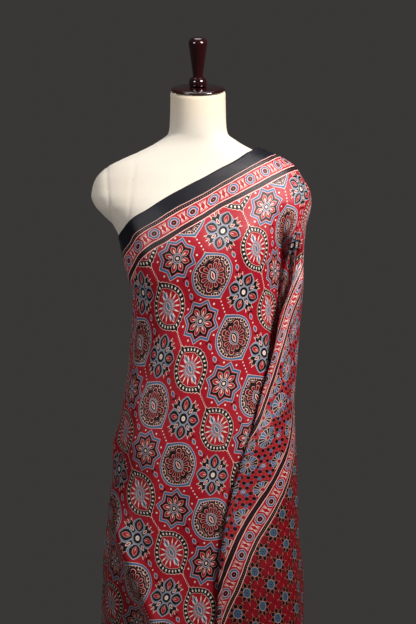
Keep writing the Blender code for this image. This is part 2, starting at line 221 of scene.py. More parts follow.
# lower edge by layer
INNER_HEM = [(-135, 0.040), (118, 0.040), (150, 0.100), (180, 0.165), (206, 0.217)]
OUTER_HEM = [(95, 0.217), (110, 0.190), (150, 0.125), (180, 0.078), (205, 0.040), (256, 0.040)]

# long soft folds of the inner layer: crest line, height and how far it reaches each way
DIAGONAL_RIDGE = [
    # z, x of the crest, height
    (0.7000, -0.1800, 0.000),
    (0.6525, -0.1700, 0.006),
    (0.5987, -0.1530, 0.010),
    (0.5325, -0.1325, 0.012),
    (0.4620, -0.1025, 0.012),
    (0.4100, -0.0787, 0.012),
    (0.3000, -0.0350, 0.010),
    (0.1500, 0.0100, 0.006),
    (0.0400, 0.0400, 0.003),
]
RIDGE_RIGHT, RIDGE_LEFT = 0.060, 0.020
HANGING_FOLDS = [
    # angle, half width in degrees, height at the hem, z where it begins
    (-118, 13, 0.016, 0.72),
    (-88, 11, 0.018, 0.84),
    (-58, 12, 0.016, 0.80),
    (-26, 10, 0.015, 0.90),
    (12, 6, -0.006, 0.86),
    (196, 9, 0.010, 0.95),
    (222, 8, 0.012, 1.10),
]
# the diagonal crease of the outer layer
OUTER_CREASE = [
    # z, x of the crest, height
    (0.7000, 0.0800, 0.000),
    (0.7602, 0.1130, 0.004),
    (0.8244, 0.1510, 0.006),
    (0.8595, 0.1670, 0.005),
    (0.9155, 0.1860, 0.001),
]

FINIAL = [
    (0.0, 0.1025),
    (0.0080, 0.1022),
    (0.0130, 0.1008),
    (0.0182, 0.0958),
    (0.0199, 0.0915),
    (0.0196, 0.0880),
    (0.0150, 0.0550),
    (0.0102, 0.0210),
    (0.0110, 0.0200),
    (0.0155, 0.0172),
    (0.0183, 0.0130),
    (0.0189, 0.0085),
    (0.0189, 0.0035),
    (0.0165, GAP),
    (0.0, GAP),
]


# small creases: layer, x and z of both ends, half width, height
CREASES = [
    ("inner", 0.000, 0.700, 0.012, 0.722, 0.006, 0.0020),
    ("inner", -0.020, 0.676, 0.030, 0.706, 0.010, 0.0016),
    ("inner", -0.165, 0.790, -0.158, 0.880, 0.007, -0.0030),
    ("inner", -0.135, 0.640, -0.060, 0.700, 0.016, 0.0018),
    ("inner", 0.045, 1.140, 0.070, 1.190, 0.014, -0.0022),
    ("inner", 0.090, 1.200, 0.150, 1.270, 0.018, 0.0020),
    ("inner", -0.095, 1.020, -0.040, 1.060, 0.016, 0.0014),
    ("inner", -0.115, 0.930, -0.020, 0.985, 0.020, 0.0014),
    ("inner", 0.120, 0.560, 0.090, 0.700, 0.018, 0.0016),
    ("inner", -0.060, 0.250, -0.085, 0.480, 0.016, 0.0022),
    ("inner", 0.060, 0.120, 0.020, 0.420, 0.018, 0.0022),
    ("inner", 0.072, 1.185, 0.130, 0.967, 0.014, -0.0040),
    ("inner", -0.120, 0.850, -0.140, 0.560, 0.016, 0.0026),
    ("inner", 0.085, 0.900, 0.060, 0.600, 0.020, -0.0026),
    ("inner", -0.030, 0.600, -0.010, 0.260, 0.018, -0.0030),
    ("outer", 0.168, 0.880, 0.120, 0.745, 0.006, 0.0022),
    ("outer", 0.142, 0.790, 0.110, 0.700, 0.007, -0.0018),
    ("outer", 0.196, 1.020, 0.178, 0.900, 0.007, 0.0016),
    ("outer", 0.196, 0.640, 0.160, 0.430, 0.012, 0.0020),
    ("outer", 0.120, 0.520, 0.096, 0.300, 0.012, 0.0018),
]
# the one sharp crease low on the left: both ends, half width on its left and right, height
SHARP_CREASE = (-0.168, 0.650, -0.081, 0.411, 0.009, 0.015, 0.0130)
# the deep fold that the inner layer makes beside the pleat's fold edge
VALLEY = [
    # z, how far it lies left of the fold edge, half width, depth
    (0.9400, 0.006, 0.007, 0.000),
    (1.0000, 0.009, 0.008, 0.010),
    (1.0600, 0.019, 0.011, 0.030),
    (1.1200, 0.030, 0.013, 0.042),
    (1.1700, 0.037, 0.013, 0.042),
    (1.2100, 0.039, 0.012, 0.028),
    (1.2700, 0.038, 0.011, 0.000),
]
# shallow waves of the whole cloth: wavelengths round the form in degrees and down it in
# metres, phase, height
WAVES = [
    (37.0, 0.410, 0.3, 0.0009),
    (61.0, 0.260, 1.7, 0.0010),
    (23.0, 0.730, 4.1, 0.0007),
    (29.0, -0.310, 2.6, 0.0006),
]


# ==================================================================== helpers
def curve(table, at, column=1):
    """A smooth curve without overshoot through a table's rows."""
    rows = np.array(sorted(table), float)
    x, y = rows[:, 0], rows[:, column]
    h = np.diff(x)
    d = np.diff(y) / h
    m = np.zeros(len(x))
    m[0], m[-1] = d[0], d[-1]
    for j in range(1, len(x) - 1):
        if d[j - 1] * d[j] > 0:
            a, b = 2 * h[j] + h[j - 1], h[j] + 2 * h[j - 1]
            m[j] = (a + b) / (a / d[j - 1] + b / d[j])
    at = np.clip(at, x[0], x[-1])
    i = np.clip(np.searchsorted(x, at, side="right") - 1, 0, len(x) - 2)
    t = (at - x[i]) / h[i]
    return (
        (2 * t**3 - 3 * t**2 + 1) * y[i]
        + (t**3 - 2 * t**2 + t) * h[i] * m[i]
        + (3 * t**2 - 2 * t**3) * y[i + 1]
        + (t**3 - t**2) * h[i] * m[i + 1]
    )


def ease(t):
    t = np.clip(t, 0.0, 1.0)
    return t * t * (3 - 2 * t)


def blend(a, b, t):
    return a + (b - a) * t


def oval(angle, left, right, front, back, roundness=ROUNDNESS):
    """A point of an oval section with its own size on each of four sides."""
    c, s = np.cos(np.radians(angle)), np.sin(np.radians(angle))
    x = np.copysign(np.abs(c) ** (2 / roundness), c)
    y = np.copysign(np.abs(s) ** (2 / roundness), s)
    return np.where(x > 0, -left, -right) * x, np.where(y > 0, -front, -back) * y


# ==================================================================== the drape
def layer_point(mix, angle, z):
    left, right, front, back = (curve(INNER, z, k) for k in (1, 2, 3, 4))
    o_right, proud, o_back = (curve(OUTER, z, k) for k in (1, 2, 3))
    return oval(angle, left, blend(right, o_right, mix), front + proud * mix, blend(back, o_back, mix))


def fold_angle(z):
    right = blend(curve(INNER, z, 2), curve(OUTER, z, 1), EDGE_MIX)
    share = np.minimum(0.985, curve(FOLD_EDGE, z) / right)
    return 180 - np.degrees(np.arccos(share ** (ROUNDNESS / 2)))


def pleat_open(z):
    return ease((PLEAT_CLOSED_ABOVE - z) / (PLEAT_CLOSED_ABOVE - PLEAT_OPENS))


GROUPS = (("inner", 142), ("turn_in", 6), ("return", 7), ("turn_out", 8), ("outer", 58))
ROWS = 210


def column_table():
    """Group, share along the group, and order along the pleat of every column."""
    groups, shares = [], []
    for name, n in GROUPS:
        groups += [name] * n
        if name == "inner":
            # closer columns on the front
            t = np.interp(np.linspace(0, 1, n), [0.0, 0.27, 0.97, 1.0], [0.0, 0.40, 0.93, 1.0])
            for _ in range(6):
                t[1:-1] = 0.25 * t[:-2] + 0.5 * t[1:-1] + 0.25 * t[2:]
            shares += list(t)
        elif name.startswith("turn"):
            shares += [(k + 1) / (n + 1) for k in range(n)]
        else:
            shares += [k / (n - 1) for k in range(n)]
    first, last = GROUPS[0][1] - 1, len(groups) - GROUPS[-1][1]
    order = np.clip((np.arange(len(groups)) - first) / (last - first), 0.0, 1.0)
    return np.array(groups), np.array(shares), order


def place(groups, shares, order, z):
    """Angle and layer mix of the columns at height z."""
    m = pleat_open(z)
    hidden, edge = curve(HIDDEN_FOLD, z), fold_angle(z)
    flat = blend(FLAT_FROM, FLAT_TO, order)
    angle, mix = np.zeros_like(z), np.zeros_like(z)
    g = groups == "inner"
    angle[g] = (START_ANGLE + (blend(FLAT_FROM, hidden, m) - START_ANGLE) * shares)[g]
    g = groups == "outer"
    angle[g], mix[g] = blend(blend(FLAT_TO, edge + TURN_OUT, m), curve(END_ANGLE, z), shares)[g], 1.0
    for name in ("turn_in", "return", "turn_out"):
        g = groups == name
        if name == "turn_in":
            a = hidden + TURN_IN * np.sin(np.pi * shares)
            b = 0.25 * (1 - np.cos(np.pi * shares))
        elif name == "return":
            a, b = blend(hidden, edge + TURN_OUT, shares), 0.5 + 0 * shares
        else:
            a = edge + TURN_OUT - TURN_OUT * np.sin(np.pi * shares)
            b = 0.5 + 0.25 * (1 - np.cos(np.pi * shares))
        angle[g], mix[g] = blend(flat, a, m)[g], blend(order, b, m)[g]
    return angle, mix


def fold_height(G, A, x, z):
    """How far the folds lift the cloth off its plain section."""
    lift = np.zeros_like(z)
    inner, outer = G == "inner", G == "outer"
    for centre, width, height, begins in HANGING_FOLDS:
        on = outer if centre > 150 else inner
        grow = ease((begins - z) / (begins - HEM_HEIGHT))
        lift += on * height * grow * np.exp(-(((A - centre) / width) ** 2))
    on = inner & (A > 0) & (A < 130) & (z < 0.70)
    d = x - curve(DIAGONAL_RIDGE, z)
    reach = np.where(d > 0, RIDGE_RIGHT, RIDGE_LEFT)
    lift += on * curve(DIAGONAL_RIDGE, z, 2) * (np.exp(-((d / reach) ** 2)) - 0.45 * np.exp(-(((d + 0.045) / 0.025) ** 2)))
    on = outer & (A < 178) & (z > 0.70)
    d = x - curve(OUTER_CREASE, z)
    lift += on * curve(OUTER_CREASE, z, 2) * np.exp(-((d / 0.014) ** 2))
    return lift


def crease_height(G, A, x, z):
    """The small creases and shallow waves on top of the main folds."""
    lift = np.zeros_like(z)
    for layer, x0, z0, x1, z1, width, height in CREASES:
        on = (G == layer) & (A > -10) & (A < 178)
        length = math.hypot(x1 - x0, z1 - z0)
        t = ((x - x0) * (x1 - x0) + (z - z0) * (z1 - z0)) / length**2
        d = ((x - x0) * (z1 - z0) - (z - z0) * (x1 - x0)) / length
        fade = ease((t + 0.25) / 0.5) * ease((1.25 - t) / 0.5)
        lift += on * height * fade * np.exp(-((d / width) ** 2))
    x0, z0, x1, z1, left, right, height = SHARP_CREASE
    length = math.hypot(x1 - x0, z1 - z0)
    t = ((x - x0) * (x1 - x0) + (z - z0) * (z1 - z0)) / length**2
    d = ((x - x0) * (z1 - z0) - (z - z0) * (x1 - x0)) / length
    fade = ease((t + 0.02) / 0.30) * ease((1.35 - t) / 0.5)
    on = (G == "inner") & (A > -10) & (A < 130)
    lift += on * height * fade * np.exp(-((d / np.where(d > 0, left, right)) ** 2))
    calm = ease((1.33 - z) / 0.15)
    for round_, down, phase, height in WAVES:
        lift += calm * height * np.sin(2 * np.pi * (A / round_ + z / down) + phase)
    return lift


def valley_depth(G, A, x, z):
    """How far the inner layer sinks back beside the pleat's fold edge."""
    on = (G == "inner") * ease((A - 80) / 20) * ease((181 - A) / 18)
    aside = curve(FOLD_EDGE, z) - curve(VALLEY, z, 1)
    return on * curve(VALLEY, z, 3) * np.exp(-(((x - aside) / curve(VALLEY, z, 2)) ** 2))


def drape():
    """Group, angle, mix, point and outward direction over the whole grid."""
    groups, shares, order = column_table()
    n = len(groups)
    low, high = np.full(n, 0.5), np.full(n, 1.3990)
    for _ in range(40):
        mid = (low + high) / 2
        up = mid < curve(TOP_EDGE, place(groups, shares, order, mid)[0])
        low, high = np.where(up, mid, low), np.where(up, high, mid)
    top = low
    angle = place(groups, shares, order, np.full(n, 0.2))[0]
    hem = np.where(
        groups == "inner",
        curve(INNER_HEM, angle),
        np.where(groups == "outer", curve(OUTER_HEM, angle), blend(curve(INNER_HEM, 206.0), curve(OUTER_HEM, 95.0), order)),
    )
    t = np.linspace(0, 1, ROWS)[None, :]
    z = top[:, None] + (hem - top)[:, None] * (0.55 * t + 0.45 * t * t)
    G = np.repeat(groups[:, None], ROWS, 1)
    S = np.repeat(shares[:, None], ROWS, 1)
    O = np.repeat(order[:, None], ROWS, 1)
    A, M = place(G, S, O, z)
    x, y = layer_point(M, A, z)
    ax, ay = layer_point(M, A + 1, z)
    bx, by = layer_point(M, A - 1, z)
    nx, ny = -(ay - by), ax - bx
    k = np.hypot(nx, ny)
    sign = np.where(nx * x + ny * y < 0, -1.0, 1.0)
    nx, ny = sign * nx / k, sign * ny / k
    lift = fold_height(G, A, x, z)
    plain = np.stack([x + lift * nx, y + lift * ny, z], -1)
    lift = crease_height(G, A, x, z)
    sunk = valley_depth(G, A, x, z)
    return groups, G, A, plain, plain + np.stack([lift * nx, lift * ny + sunk, 0 * nx], -1)

# ==================================================================== the camera's frame
PIXEL = 0.00207  # metres to one pixel of the 416 x 624 frame at the stand's axis
EYE = np.array([0.0207, -5.0, 1.150])
AIM = np.array([0.0207, 0.0, 1.046])

# ==================================================================== the print's repeats
# metres of flat cloth: u runs along the sari, v across it from the top selvedge
PU, PV, V0 = 0.105, 0.134, 0.115  # pitch of the medallions and the v of their first row
ROSE, ROSE_V = 0.0423, 0.0493  # pitch of the border's rosettes, and the border's middle
U1, U2 = 0.400, 0.550  # middles of the two cross stripes of the end piece
STAR, STAR_U = 0.0455, 0.589  # pitch of the stars, and their first column

# where the repeats are seen in the frame, in pixels
FIELD_MARKS = [
    # i, j, x, y
    (-1, 0, 143, 293), (0, 0, 177.2, 257.8), (1, 0, 223.2, 231), (2, 0, 266, 207.3),
    (-1.5, 0.5, 140.5, 342), (-0.5, 0.5, 168.8, 306.5), (0.5, 0.5, 212.5, 275.4),
    (1.5, 0.5, 256.8, 248.6), (2.5, 0.5, 287.5, 225.7),
    (-2, 1, 132.9, 388.8), (-1, 1, 161.2, 357), (0, 1, 200.2, 321), (1, 1, 243.8, 292.3),
    (2, 1, 276, 271.6), (3, 1, 290.7, 245),
    (-2.5, 1.5, 125.2, 431.6), (-1.5, 1.5, 153.2, 405.6), (-0.5, 1.5, 190, 368.5),
    (0.5, 1.5, 233.9, 338), (1.5, 1.5, 269, 310),
    (-3, 2, 119, 468.4), (-2, 2, 145.9, 451), (-1, 2, 183.7, 418.6), (0, 2, 223.2, 383.4),
    (1, 2, 263.7, 352.8),
    (-2.5, 2.5, 140, 494), (-1.5, 2.5, 178.3, 465.5), (-0.5, 2.5, 216.3, 429), (0.5, 2.5, 257.6, 398),
    (-3, 3, 137.9, 537.9), (-2, 3, 173.9, 508.8), (-1, 3, 213, 475), (0, 3, 247.7, 437.8),
    (-3.5, 3.5, 136.7, 586), (-2.5, 3.5, 171, 552.4), (-1.5, 3.5, 211.4, 519.5),
    (-4, 4, 136.7, 622), (-3, 4, 166.5, 597.6), (-2, 4, 206.3, 563), (-2.5, 4.5, 199.4, 609.8),
]
BORDER_MARKS = [
    # x, y of the border's rosettes
    (277.5, 164.9), (262.2, 172.6), (245.4, 181.7), (228.5, 191.2), (211.2, 200.9),
    (193.8, 211.6), (176, 222.3), (157.3, 231.3), (141, 243.3), (131, 257),
]
STRIPE1_MARKS = [(297.9, 286.6), (290.2, 311), (281.5, 335.5)]  # x, y
STRIPE2_MARKS = [
    # x, y, pixels to its left and right edges
    (292.6, 445.9, None, None), (288, 464.3, 5.3, 4.0), (280.4, 483.8, 7.8, 6.3),
    (271, 501, 8.8, 7.9), (260.1, 519.2, 9.4, 8.6), (249.7, 536.8, 9.6, 8.8),
    (241.1, 555, 9.6, 9.0), (233.8, 574.3, 9.5, 9.2), (225.5, 593.3, None, 9.3),
    (219.4, 612.3, None, None),
]
STAR_MARKS = [
    # column, row, x, y
    (0, 0, 282.2, 514.2), (0, 1, 273.9, 531.6), (0, 2, 263.3, 551.4), (0, 3, 254.2, 570.8),
    (0, 4, 246.1, 593.3), (0, 5, 238.5, 613.1), (1, 0, 291.3, 523.7), (1, 1, 286.6, 544.3),
    (1, 2, 278.3, 564), (1, 3, 270.6, 584.6), (1, 4, 262.2, 606.4), (2, 1, 294, 553.8),
    (2, 2, 290.5, 575), (2, 3, 284.6, 596.5), (2, 4, 277, 617.8), (3, 2, 298.5, 587),
    (3, 3, 296.5, 608),
]


def project(p):
    """Pixel of a point in the 416 x 624 frame."""
    f = (AIM - EYE) / np.linalg.norm(AIM - EYE)
    up = np.cross([1.0, 0.0, 0.0], f)
    d = p - EYE
    k = (5.0 / PIXEL) / (d @ f)
    return 208 + k * d[..., 0], 312 - k * (d @ up)


def locate(px, py, layer, G, A, P):
    """Column and row, with fractions, of the grid point seen at a pixel."""
    X, Y = project(P)
    ok = (A > -20) & (A < 190)
    if layer == "inner":
        ok &= G == "inner"
    elif layer == "outer":
        ok &= (G == "outer") | (G == "turn_out")
    corners = lambda F: np.stack([F[:-1, :-1], F[1:, :-1], F[1:, 1:], F[:-1, 1:]])
    cx, cy = corners(X), corners(Y)
    hit = corners(ok).all(0)
    hit &= (cx.min(0) <= px) & (cx.max(0) >= px) & (cy.min(0) <= py) & (cy.max(0) >= py)
    best = None
    for i, j in zip(*np.nonzero(hit)):
        x0, x1, x2, x3 = cx[:, i, j]
        y0, y1, y2, y3 = cy[:, i, j]
        s = t = 0.5
        for _ in range(12):
            x = (1 - s) * (1 - t) * x0 + s * (1 - t) * x1 + s * t * x2 + (1 - s) * t * x3
            y = (1 - s) * (1 - t) * y0 + s * (1 - t) * y1 + s * t * y2 + (1 - s) * t * y3
            xs, xt = (1 - t) * (x1 - x0) + t * (x2 - x3), (1 - s) * (x3 - x0) + s * (x2 - x1)
            ys, yt = (1 - t) * (y1 - y0) + t * (y2 - y3), (1 - s) * (y3 - y0) + s * (y2 - y1)
            det = xs * yt - xt * ys
            if abs(det) < 1e-12:
                break
            s, t = s - ((x - px) * yt - (y - py) * xt) / det, t - ((y - py) * xs - (x - px) * ys) / det
            s, t = min(max(s, -0.5), 1.5), min(max(t, -0.5), 1.5)
        if -0.02 <= s <= 1.02 and -0.02 <= t <= 1.02 and (best is None or P[i, j, 1] < best[0]):
            best = (P[i, j, 1], i + s, j + t)
    return None if best is None else best[1:]


def spline_matrix(x, at):
    """Weights that take values at x to a natural cubic spline's values at the points at."""
    n, h = len(x), np.diff(x)
    a, b = np.zeros((n, n)), np.zeros((n, n))
    a[0, 0] = a[-1, -1] = 1
    for i in range(1, n - 1):
        a[i, i - 1], a[i, i], a[i, i + 1] = h[i - 1], 2 * (h[i - 1] + h[i]), h[i]
        b[i, i - 1], b[i, i], b[i, i + 1] = 6 / h[i - 1], -6 / h[i - 1] - 6 / h[i], 6 / h[i]
    bend = np.linalg.solve(a, b)
    k = np.clip(np.searchsorted(x, at, side="right") - 1, 0, n - 2)
    p, q = (x[k + 1] - at) / h[k], (at - x[k]) / h[k]
    w = np.zeros((len(at), n))
    r = np.arange(len(at))
    w[r, k] += p
    w[r, k + 1] += q
    return w + ((p**3 - p) * h[k] ** 2 / 6)[:, None] * bend[k] + ((q**3 - q) * h[k] ** 2 / 6)[:, None] * bend[k + 1]


def print_coordinates(P, groups, A, G, stiffness=10.0):
    """u and v over the grid: as evenly spread as the repeats seen in the frame allow."""
    coarse = []
    for g, step in (("inner", 4), ("turn_in", 3), ("return", 3), ("turn_out", 4), ("outer", 4)):
        k = np.nonzero(groups == g)[0]
        picked = list(k[::step])
        if g in ("inner", "outer") or k[-1] - picked[-1] >= step / 2:
            if picked[-1] != k[-1]:
                picked.append(k[-1])
        coarse += picked
    ci, cj = np.array(coarse), np.unique(np.r_[np.arange(0, P.shape[1], 7), P.shape[1] - 1])
    su = np.concatenate([np.zeros((1, P.shape[1])), np.cumsum(np.linalg.norm(np.diff(P, axis=0), axis=2), 0)])
    sv = np.concatenate([np.zeros((P.shape[0], 1)), np.cumsum(np.linalg.norm(np.diff(P, axis=1), axis=2), 1)], 1)
    xu, xv = su.mean(1), sv.mean(0)
    Wi, Wj = spline_matrix(xu[ci], xu), spline_matrix(xv[cj], xv)
    du = np.maximum(np.diff(su[np.ix_(ci, cj)], axis=0), 1e-3)
    dv = np.diff(sv[np.ix_(ci, cj)], axis=1)
    I, J = len(ci), len(cj)
    n = I * J
    # the print may give way most where no one sees it
    soft = np.ones((I, J))
    for a, c in enumerate(ci):
        for b, r in enumerate(cj):
            z = P[c, r, 2]
            if z < 1.2 and groups[c] in ("turn_in", "return"):
                soft[a, b] = 0.01
            if z < 1.2 and groups[c] == "inner" and A[c, r] > float(fold_angle(np.array(z))) + 6:
                soft[a, b] = 0.03
            if groups[c] == "outer" and A[c, r] > 185:
                soft[a, b] = 0.3
    H = np.zeros((n, n))

    def stiffen(cells, values, weight):
        k = [i * J + j for i, j in cells]
        H[np.ix_(k, k)] += weight * np.outer(values, values)

    for i in range(I):
        for j in range(J):
            w = stiffness * soft[i, j]
            if 0 < i < I - 1:
                a, b = du[i - 1, j], du[i, j]
                stiffen([(i - 1, j), (i, j), (i + 1, j)], [1 / a, -1 / a - 1 / b, 1 / b], w * dv[i, min(j, J - 2)] / (0.5 * (a + b)))
            if 0 < j < J - 1:
                a, b = dv[i, j - 1], dv[i, j]
                stiffen([(i, j - 1), (i, j), (i, j + 1)], [1 / a, -1 / a - 1 / b, 1 / b], w * du[min(i, I - 2), j] / (0.5 * (a + b)))
            if i < I - 1 and j < J - 1:
                a, b = 0.5 * (du[i, j] + du[i, j + 1]), 0.5 * (dv[i, j] + dv[i + 1, j])
                stiffen([(i, j), (i + 1, j), (i, j + 1), (i + 1, j + 1)], [1, -1, -1, 1], 2 * w / (a * b))
    HU, HV, bu, bv = H, H.copy(), np.zeros(n), np.zeros(n)
    HV[np.arange(0, n, J), np.arange(0, n, J)] += 3e5
    sure = 1 / 0.002**2

    def foot(px, py, layer):
        q = locate(px, py, layer, G, A, P)
        if q is None:
            return None
        i, j = min(int(q[0]), P.shape[0] - 2), min(int(q[1]), P.shape[1] - 2)
        s, t = q[0] - i, q[1] - j
        return np.outer((1 - s) * Wi[i] + s * Wi[i + 1], (1 - t) * Wj[j] + t * Wj[j + 1]).ravel()

    def pin_u(f, value, weight=1.0):
        if f is not None:
            HU[:] += sure * weight * np.outer(f, f)
            bu[:] += sure * weight * value * f

    def pin_v(f, value, weight=1.0):
        if f is not None:
            HV[:] += sure * weight * np.outer(f, f)
            bv[:] += sure * weight * value * f

    for i, j, px, py in FIELD_MARKS:
        f = foot(px, py, "any")
        pin_u(f, PU * i)
        pin_v(f, V0 + PV * j)
    roses = [foot(px, py, "inner") for px, py in BORDER_MARKS]
    for f in roses:
        pin_v(f, ROSE_V)
    first = [foot(px, py, "outer") for px, py in STRIPE1_MARKS]
    for f, (px, py) in zip(first, STRIPE1_MARKS):
        pin_u(f, U1)
        pin_u(foot(px - 3.3, py - 1.2, "outer"), U1 - 0.018)
        pin_u(foot(px + 3.3, py + 1.2, "outer"), U1 + 0.018)
    pin_v(first[2] - first[0], 2 * ROSE, 0.3)
    second = [foot(px, py, "outer") for px, py, _, _ in STRIPE2_MARKS]
    for f in second:
        pin_u(f, U2)
    for f, g in zip(second, second[1:]):
        pin_v(g - f, ROSE)
    for k, (px, py, left, right) in enumerate(STRIPE2_MARKS):
        before, after = STRIPE2_MARKS[max(k - 1, 0)], STRIPE2_MARKS[min(k + 1, 9)]
        ax, ay = after[0] - before[0], after[1] - before[1]
        nx, ny = ay / math.hypot(ax, ay), -ax / math.hypot(ax, ay)
        for off, share in ((-left if left else None, -0.01885), (right, 0.01745)):
            if off is not None:
                f = foot(px + off * nx, py + off * ny, "outer")
                if f is not None:
                    pin_u(f, U2 + share)
                    pin_v(f - second[k], 0.0)
    corner = None
    stars = []
    for column, row, px, py in STAR_MARKS:
        f = foot(px, py, "outer")
        if f is not None:
            stars.append((row, f))
            pin_u(f, STAR_U + STAR * column, 0.5)
            if corner is not None:
                pin_v(f - corner[1], STAR * (row - corner[0]), 0.5)
            corner = corner or (row, f)
    U, V = np.linalg.solve(HU, bu), np.linalg.solve(HV, bv)
    # where each repeat begins, from what was solved
    phase = {
        "border": [float(f @ U) for f in roses if f is not None],
        "first": [float(f @ V) - ROSE * k for f, k in zip(first, (0, 1, 2))],
        "second": [float(f @ V) - ROSE * k for k, f in enumerate(second)],
        "stars": [float(f @ V) - STAR * row for row, f in stars],
    }
    return Wi @ U.reshape(I, J) @ Wj.T, Wi @ V.reshape(I, J) @ Wj.T, phase

# ==================================================================== shader arithmetic
class Net:
    """Writes ordinary arithmetic as shader nodes. Values are Term objects or numbers."""

    def __init__(self, tree):
        self.tree, self.made, self.count = tree, {}, 0

    def new(self, kind, **settings):
        node = self.tree.nodes.new(kind)
        node.location = (190 * (self.count // 14), -190 * (self.count % 14))
        node.hide = True
        self.count += 1
        for key, value in settings.items():
            setattr(node, key, value)
        return node

    def feed(self, socket, value):
        if isinstance(value, Term):
            self.tree.links.new(value.socket, socket)
        elif isinstance(value, (tuple, list)):
            socket.default_value = (*value, 1.0) if len(value) == 3 and len(socket.default_value) == 4 else value
        else:
            socket.default_value = value

    def math(self, operation, *values):
        key = (operation,) + tuple(v.key if isinstance(v, Term) else round(float(v), 9) for v in values)
        if key not in self.made:
            node = self.new("ShaderNodeMath", operation=operation)
            for socket, value in zip(node.inputs, values):
                self.feed(socket, value)
            self.made[key] = Term(self, node.outputs[0])
        return self.made[key]

    def mix(self, below, above, share):
        """Colour above laid over colour below; the share needs no clamping of its own."""
        node = self.new("ShaderNodeMix", data_type="RGBA", blend_type="MIX", clamp_factor=True)
        self.feed(node.inputs[0], share)
        self.feed(node.inputs[6], below)
        self.feed(node.inputs[7], above)
        return Term(self, node.outputs[2])


class Term:
    """A number or colour that a node gives."""

    def __init__(self, net, socket):
        self.net, self.socket = net, socket
        self.key = (socket.node.name, socket.identifier)

    def __add__(self, o):
        return self if isinstance(o, (int, float)) and o == 0 else self.net.math("ADD", self, o)

    __radd__ = __add__

    def __sub__(self, o):
        return self if isinstance(o, (int, float)) and o == 0 else self.net.math("SUBTRACT", self, o)

    def __rsub__(self, o):
        return self.net.math("SUBTRACT", o, self)

    def __mul__(self, o):
        return self if isinstance(o, (int, float)) and o == 1 else self.net.math("MULTIPLY", self, o)

    __rmul__ = __mul__

    def __truediv__(self, o):
        return self * (1.0 / o) if isinstance(o, (int, float)) else self.net.math("DIVIDE", self, o)

    def __neg__(self):
        return self * -1.0

    def __abs__(self):
        return self.net.math("ABSOLUTE", self)


def net_of(*values):
    return next(v.net for v in values if isinstance(v, Term))


def least(*values):
    out = values[0]
    for v in values[1:]:
        out = net_of(out, v).math("MINIMUM", out, v)
    return out


def most(*values):
    out = values[0]
    for v in values[1:]:
        out = net_of(out, v).math("MAXIMUM", out, v)
    return out


def floor(a):
    return a.net.math("FLOOR", a)


def root(a):
    return a.net.math("SQRT", a)


def sine(a):
    return a.net.math("SINE", a)


def cosine(a):
    return a.net.math("COSINE", a)


def square(a):
    return a.net.math("MULTIPLY", a, a)


def radius(x, y, cx=0.0, cy=0.0):
    return root(square(x - cx) + square(y - cy))


def turn_of(y, x):
    """The angle of a point, in turns of -0.5 to 0.5."""
    return y.net.math("ARCTAN2", y, x) / (2 * math.pi)


def odd(a):
    """1 where a whole number is odd, else 0."""
    return a.net.math("WRAP", a, 2.0, 0.0)


def fold(a, pitch, middle=0.0):
    """Signed distance from the nearest of the points middle + k * pitch."""
    return a.net.math("WRAP", a - middle, pitch / 2, -pitch / 2)


def scale_add(a, k, c):
    return a.net.math("MULTIPLY_ADD", a, k, c)


SOFT = 0.50  # millimetres over which a printed edge fades


def inside(d, soft=SOFT):
    """Mask of d > 0, where d is in millimetres."""
    return scale_add(d, 1 / soft, 0.5)


def below(a, limit, soft=SOFT):
    """Mask of a < limit."""
    return scale_add(a, -1 / soft, 0.5 + limit / soft)


def above(a, limit, soft=SOFT):
    """Mask of a > limit."""
    return scale_add(a, 1 / soft, 0.5 - limit / soft)


def between(a, low, high, soft=SOFT):
    return scale_add(abs(a - (low + high) / 2), -1 / soft, 0.5 + (high - low) / 2 / soft)


def pick(a, b, share):
    """a where share is 0 and b where it is 1."""
    return a + (b - a) * share


def lens(along, across, centre, half, wide):
    """Depth inside a pointed leaf: half its length along, wide half across."""
    bow = scale_add(square((along - centre) / half), -wide, wide)
    return bow - abs(across)

# ==================================================================== the print
def srgb(r, g, b):
    """A linear colour from 0-255 values."""
    return tuple(c / 3294.6 if c <= 10.31 else ((c / 255 + 0.055) / 1.055) ** 2.4 for c in (r, g, b))


RED = srgb(178, 22, 42)
DEEP_RED = srgb(140, 12, 30)
DARK_RED = srgb(112, 8, 24)
BLACK = srgb(12, 10, 15)
BLUE = srgb(64, 108, 150)
LIGHT_BLUE = srgb(76, 126, 164)
FROST = srgb(214, 196, 194)
DARK_BLUE = srgb(38, 60, 92)
STAR_BLUE = srgb(92, 118, 142)
TILE_LINE = srgb(172, 78, 72)
WHITE = srgb(250, 230, 216)
PEACH = srgb(208, 124, 102)
PALE = srgb(242, 200, 184)
EDGE_BLACK = srgb(20, 19, 28)
C22, S22 = math.cos(math.radians(22.5)), math.sin(math.radians(22.5))


def half_drop(net, u, v):
    """Local coordinates of the field's repeats, in millimetres."""
    pu, pv, v0 = PU * 1000, PV * 1000, V0 * 1000
    return {
        "x": fold(u, pu), "y": fold(v, pv, v0), "odd": odd(floor(scale_add(u, 1 / pu, 0.5))),
        "xh": fold(u, pu, pu / 2), "yh": fold(v, pv, v0 + pv / 2), "odd_h": odd(floor(u / pu)),
    }


def sprigs(net, c, at):
    """The leaves and dotted chains between the medallions."""
    x, ay = at["x"], abs(at["yh"])
    c = net.mix(c, BLACK, least(between(radius(x, ay, 0, 19.5), 4.0, 6.6), above(ay, 20.5)))
    c = net.mix(c, PALE, inside(lens(ay, x, 13.6, 7.0, 4.0)))
    c = net.mix(c, BLUE, inside(lens(ay, x, 13.6, 5.6, 2.9)))
    c = net.mix(c, WHITE, below(radius(x, ay), 1.6))
    xh, y = at["xh"], at["y"]
    reach = below(abs(y), 14.5)
    dots = below(radius(xh, fold(y, 7.2, 3.6)), 1.5)
    wave = least(below(abs(xh + fold(y, 5.2) * 0.7), 0.75), below(abs(fold(y, 5.2)), 1.9))
    return net.mix(c, WHITE, least(reach, pick(dots, wave, at["odd_h"])))


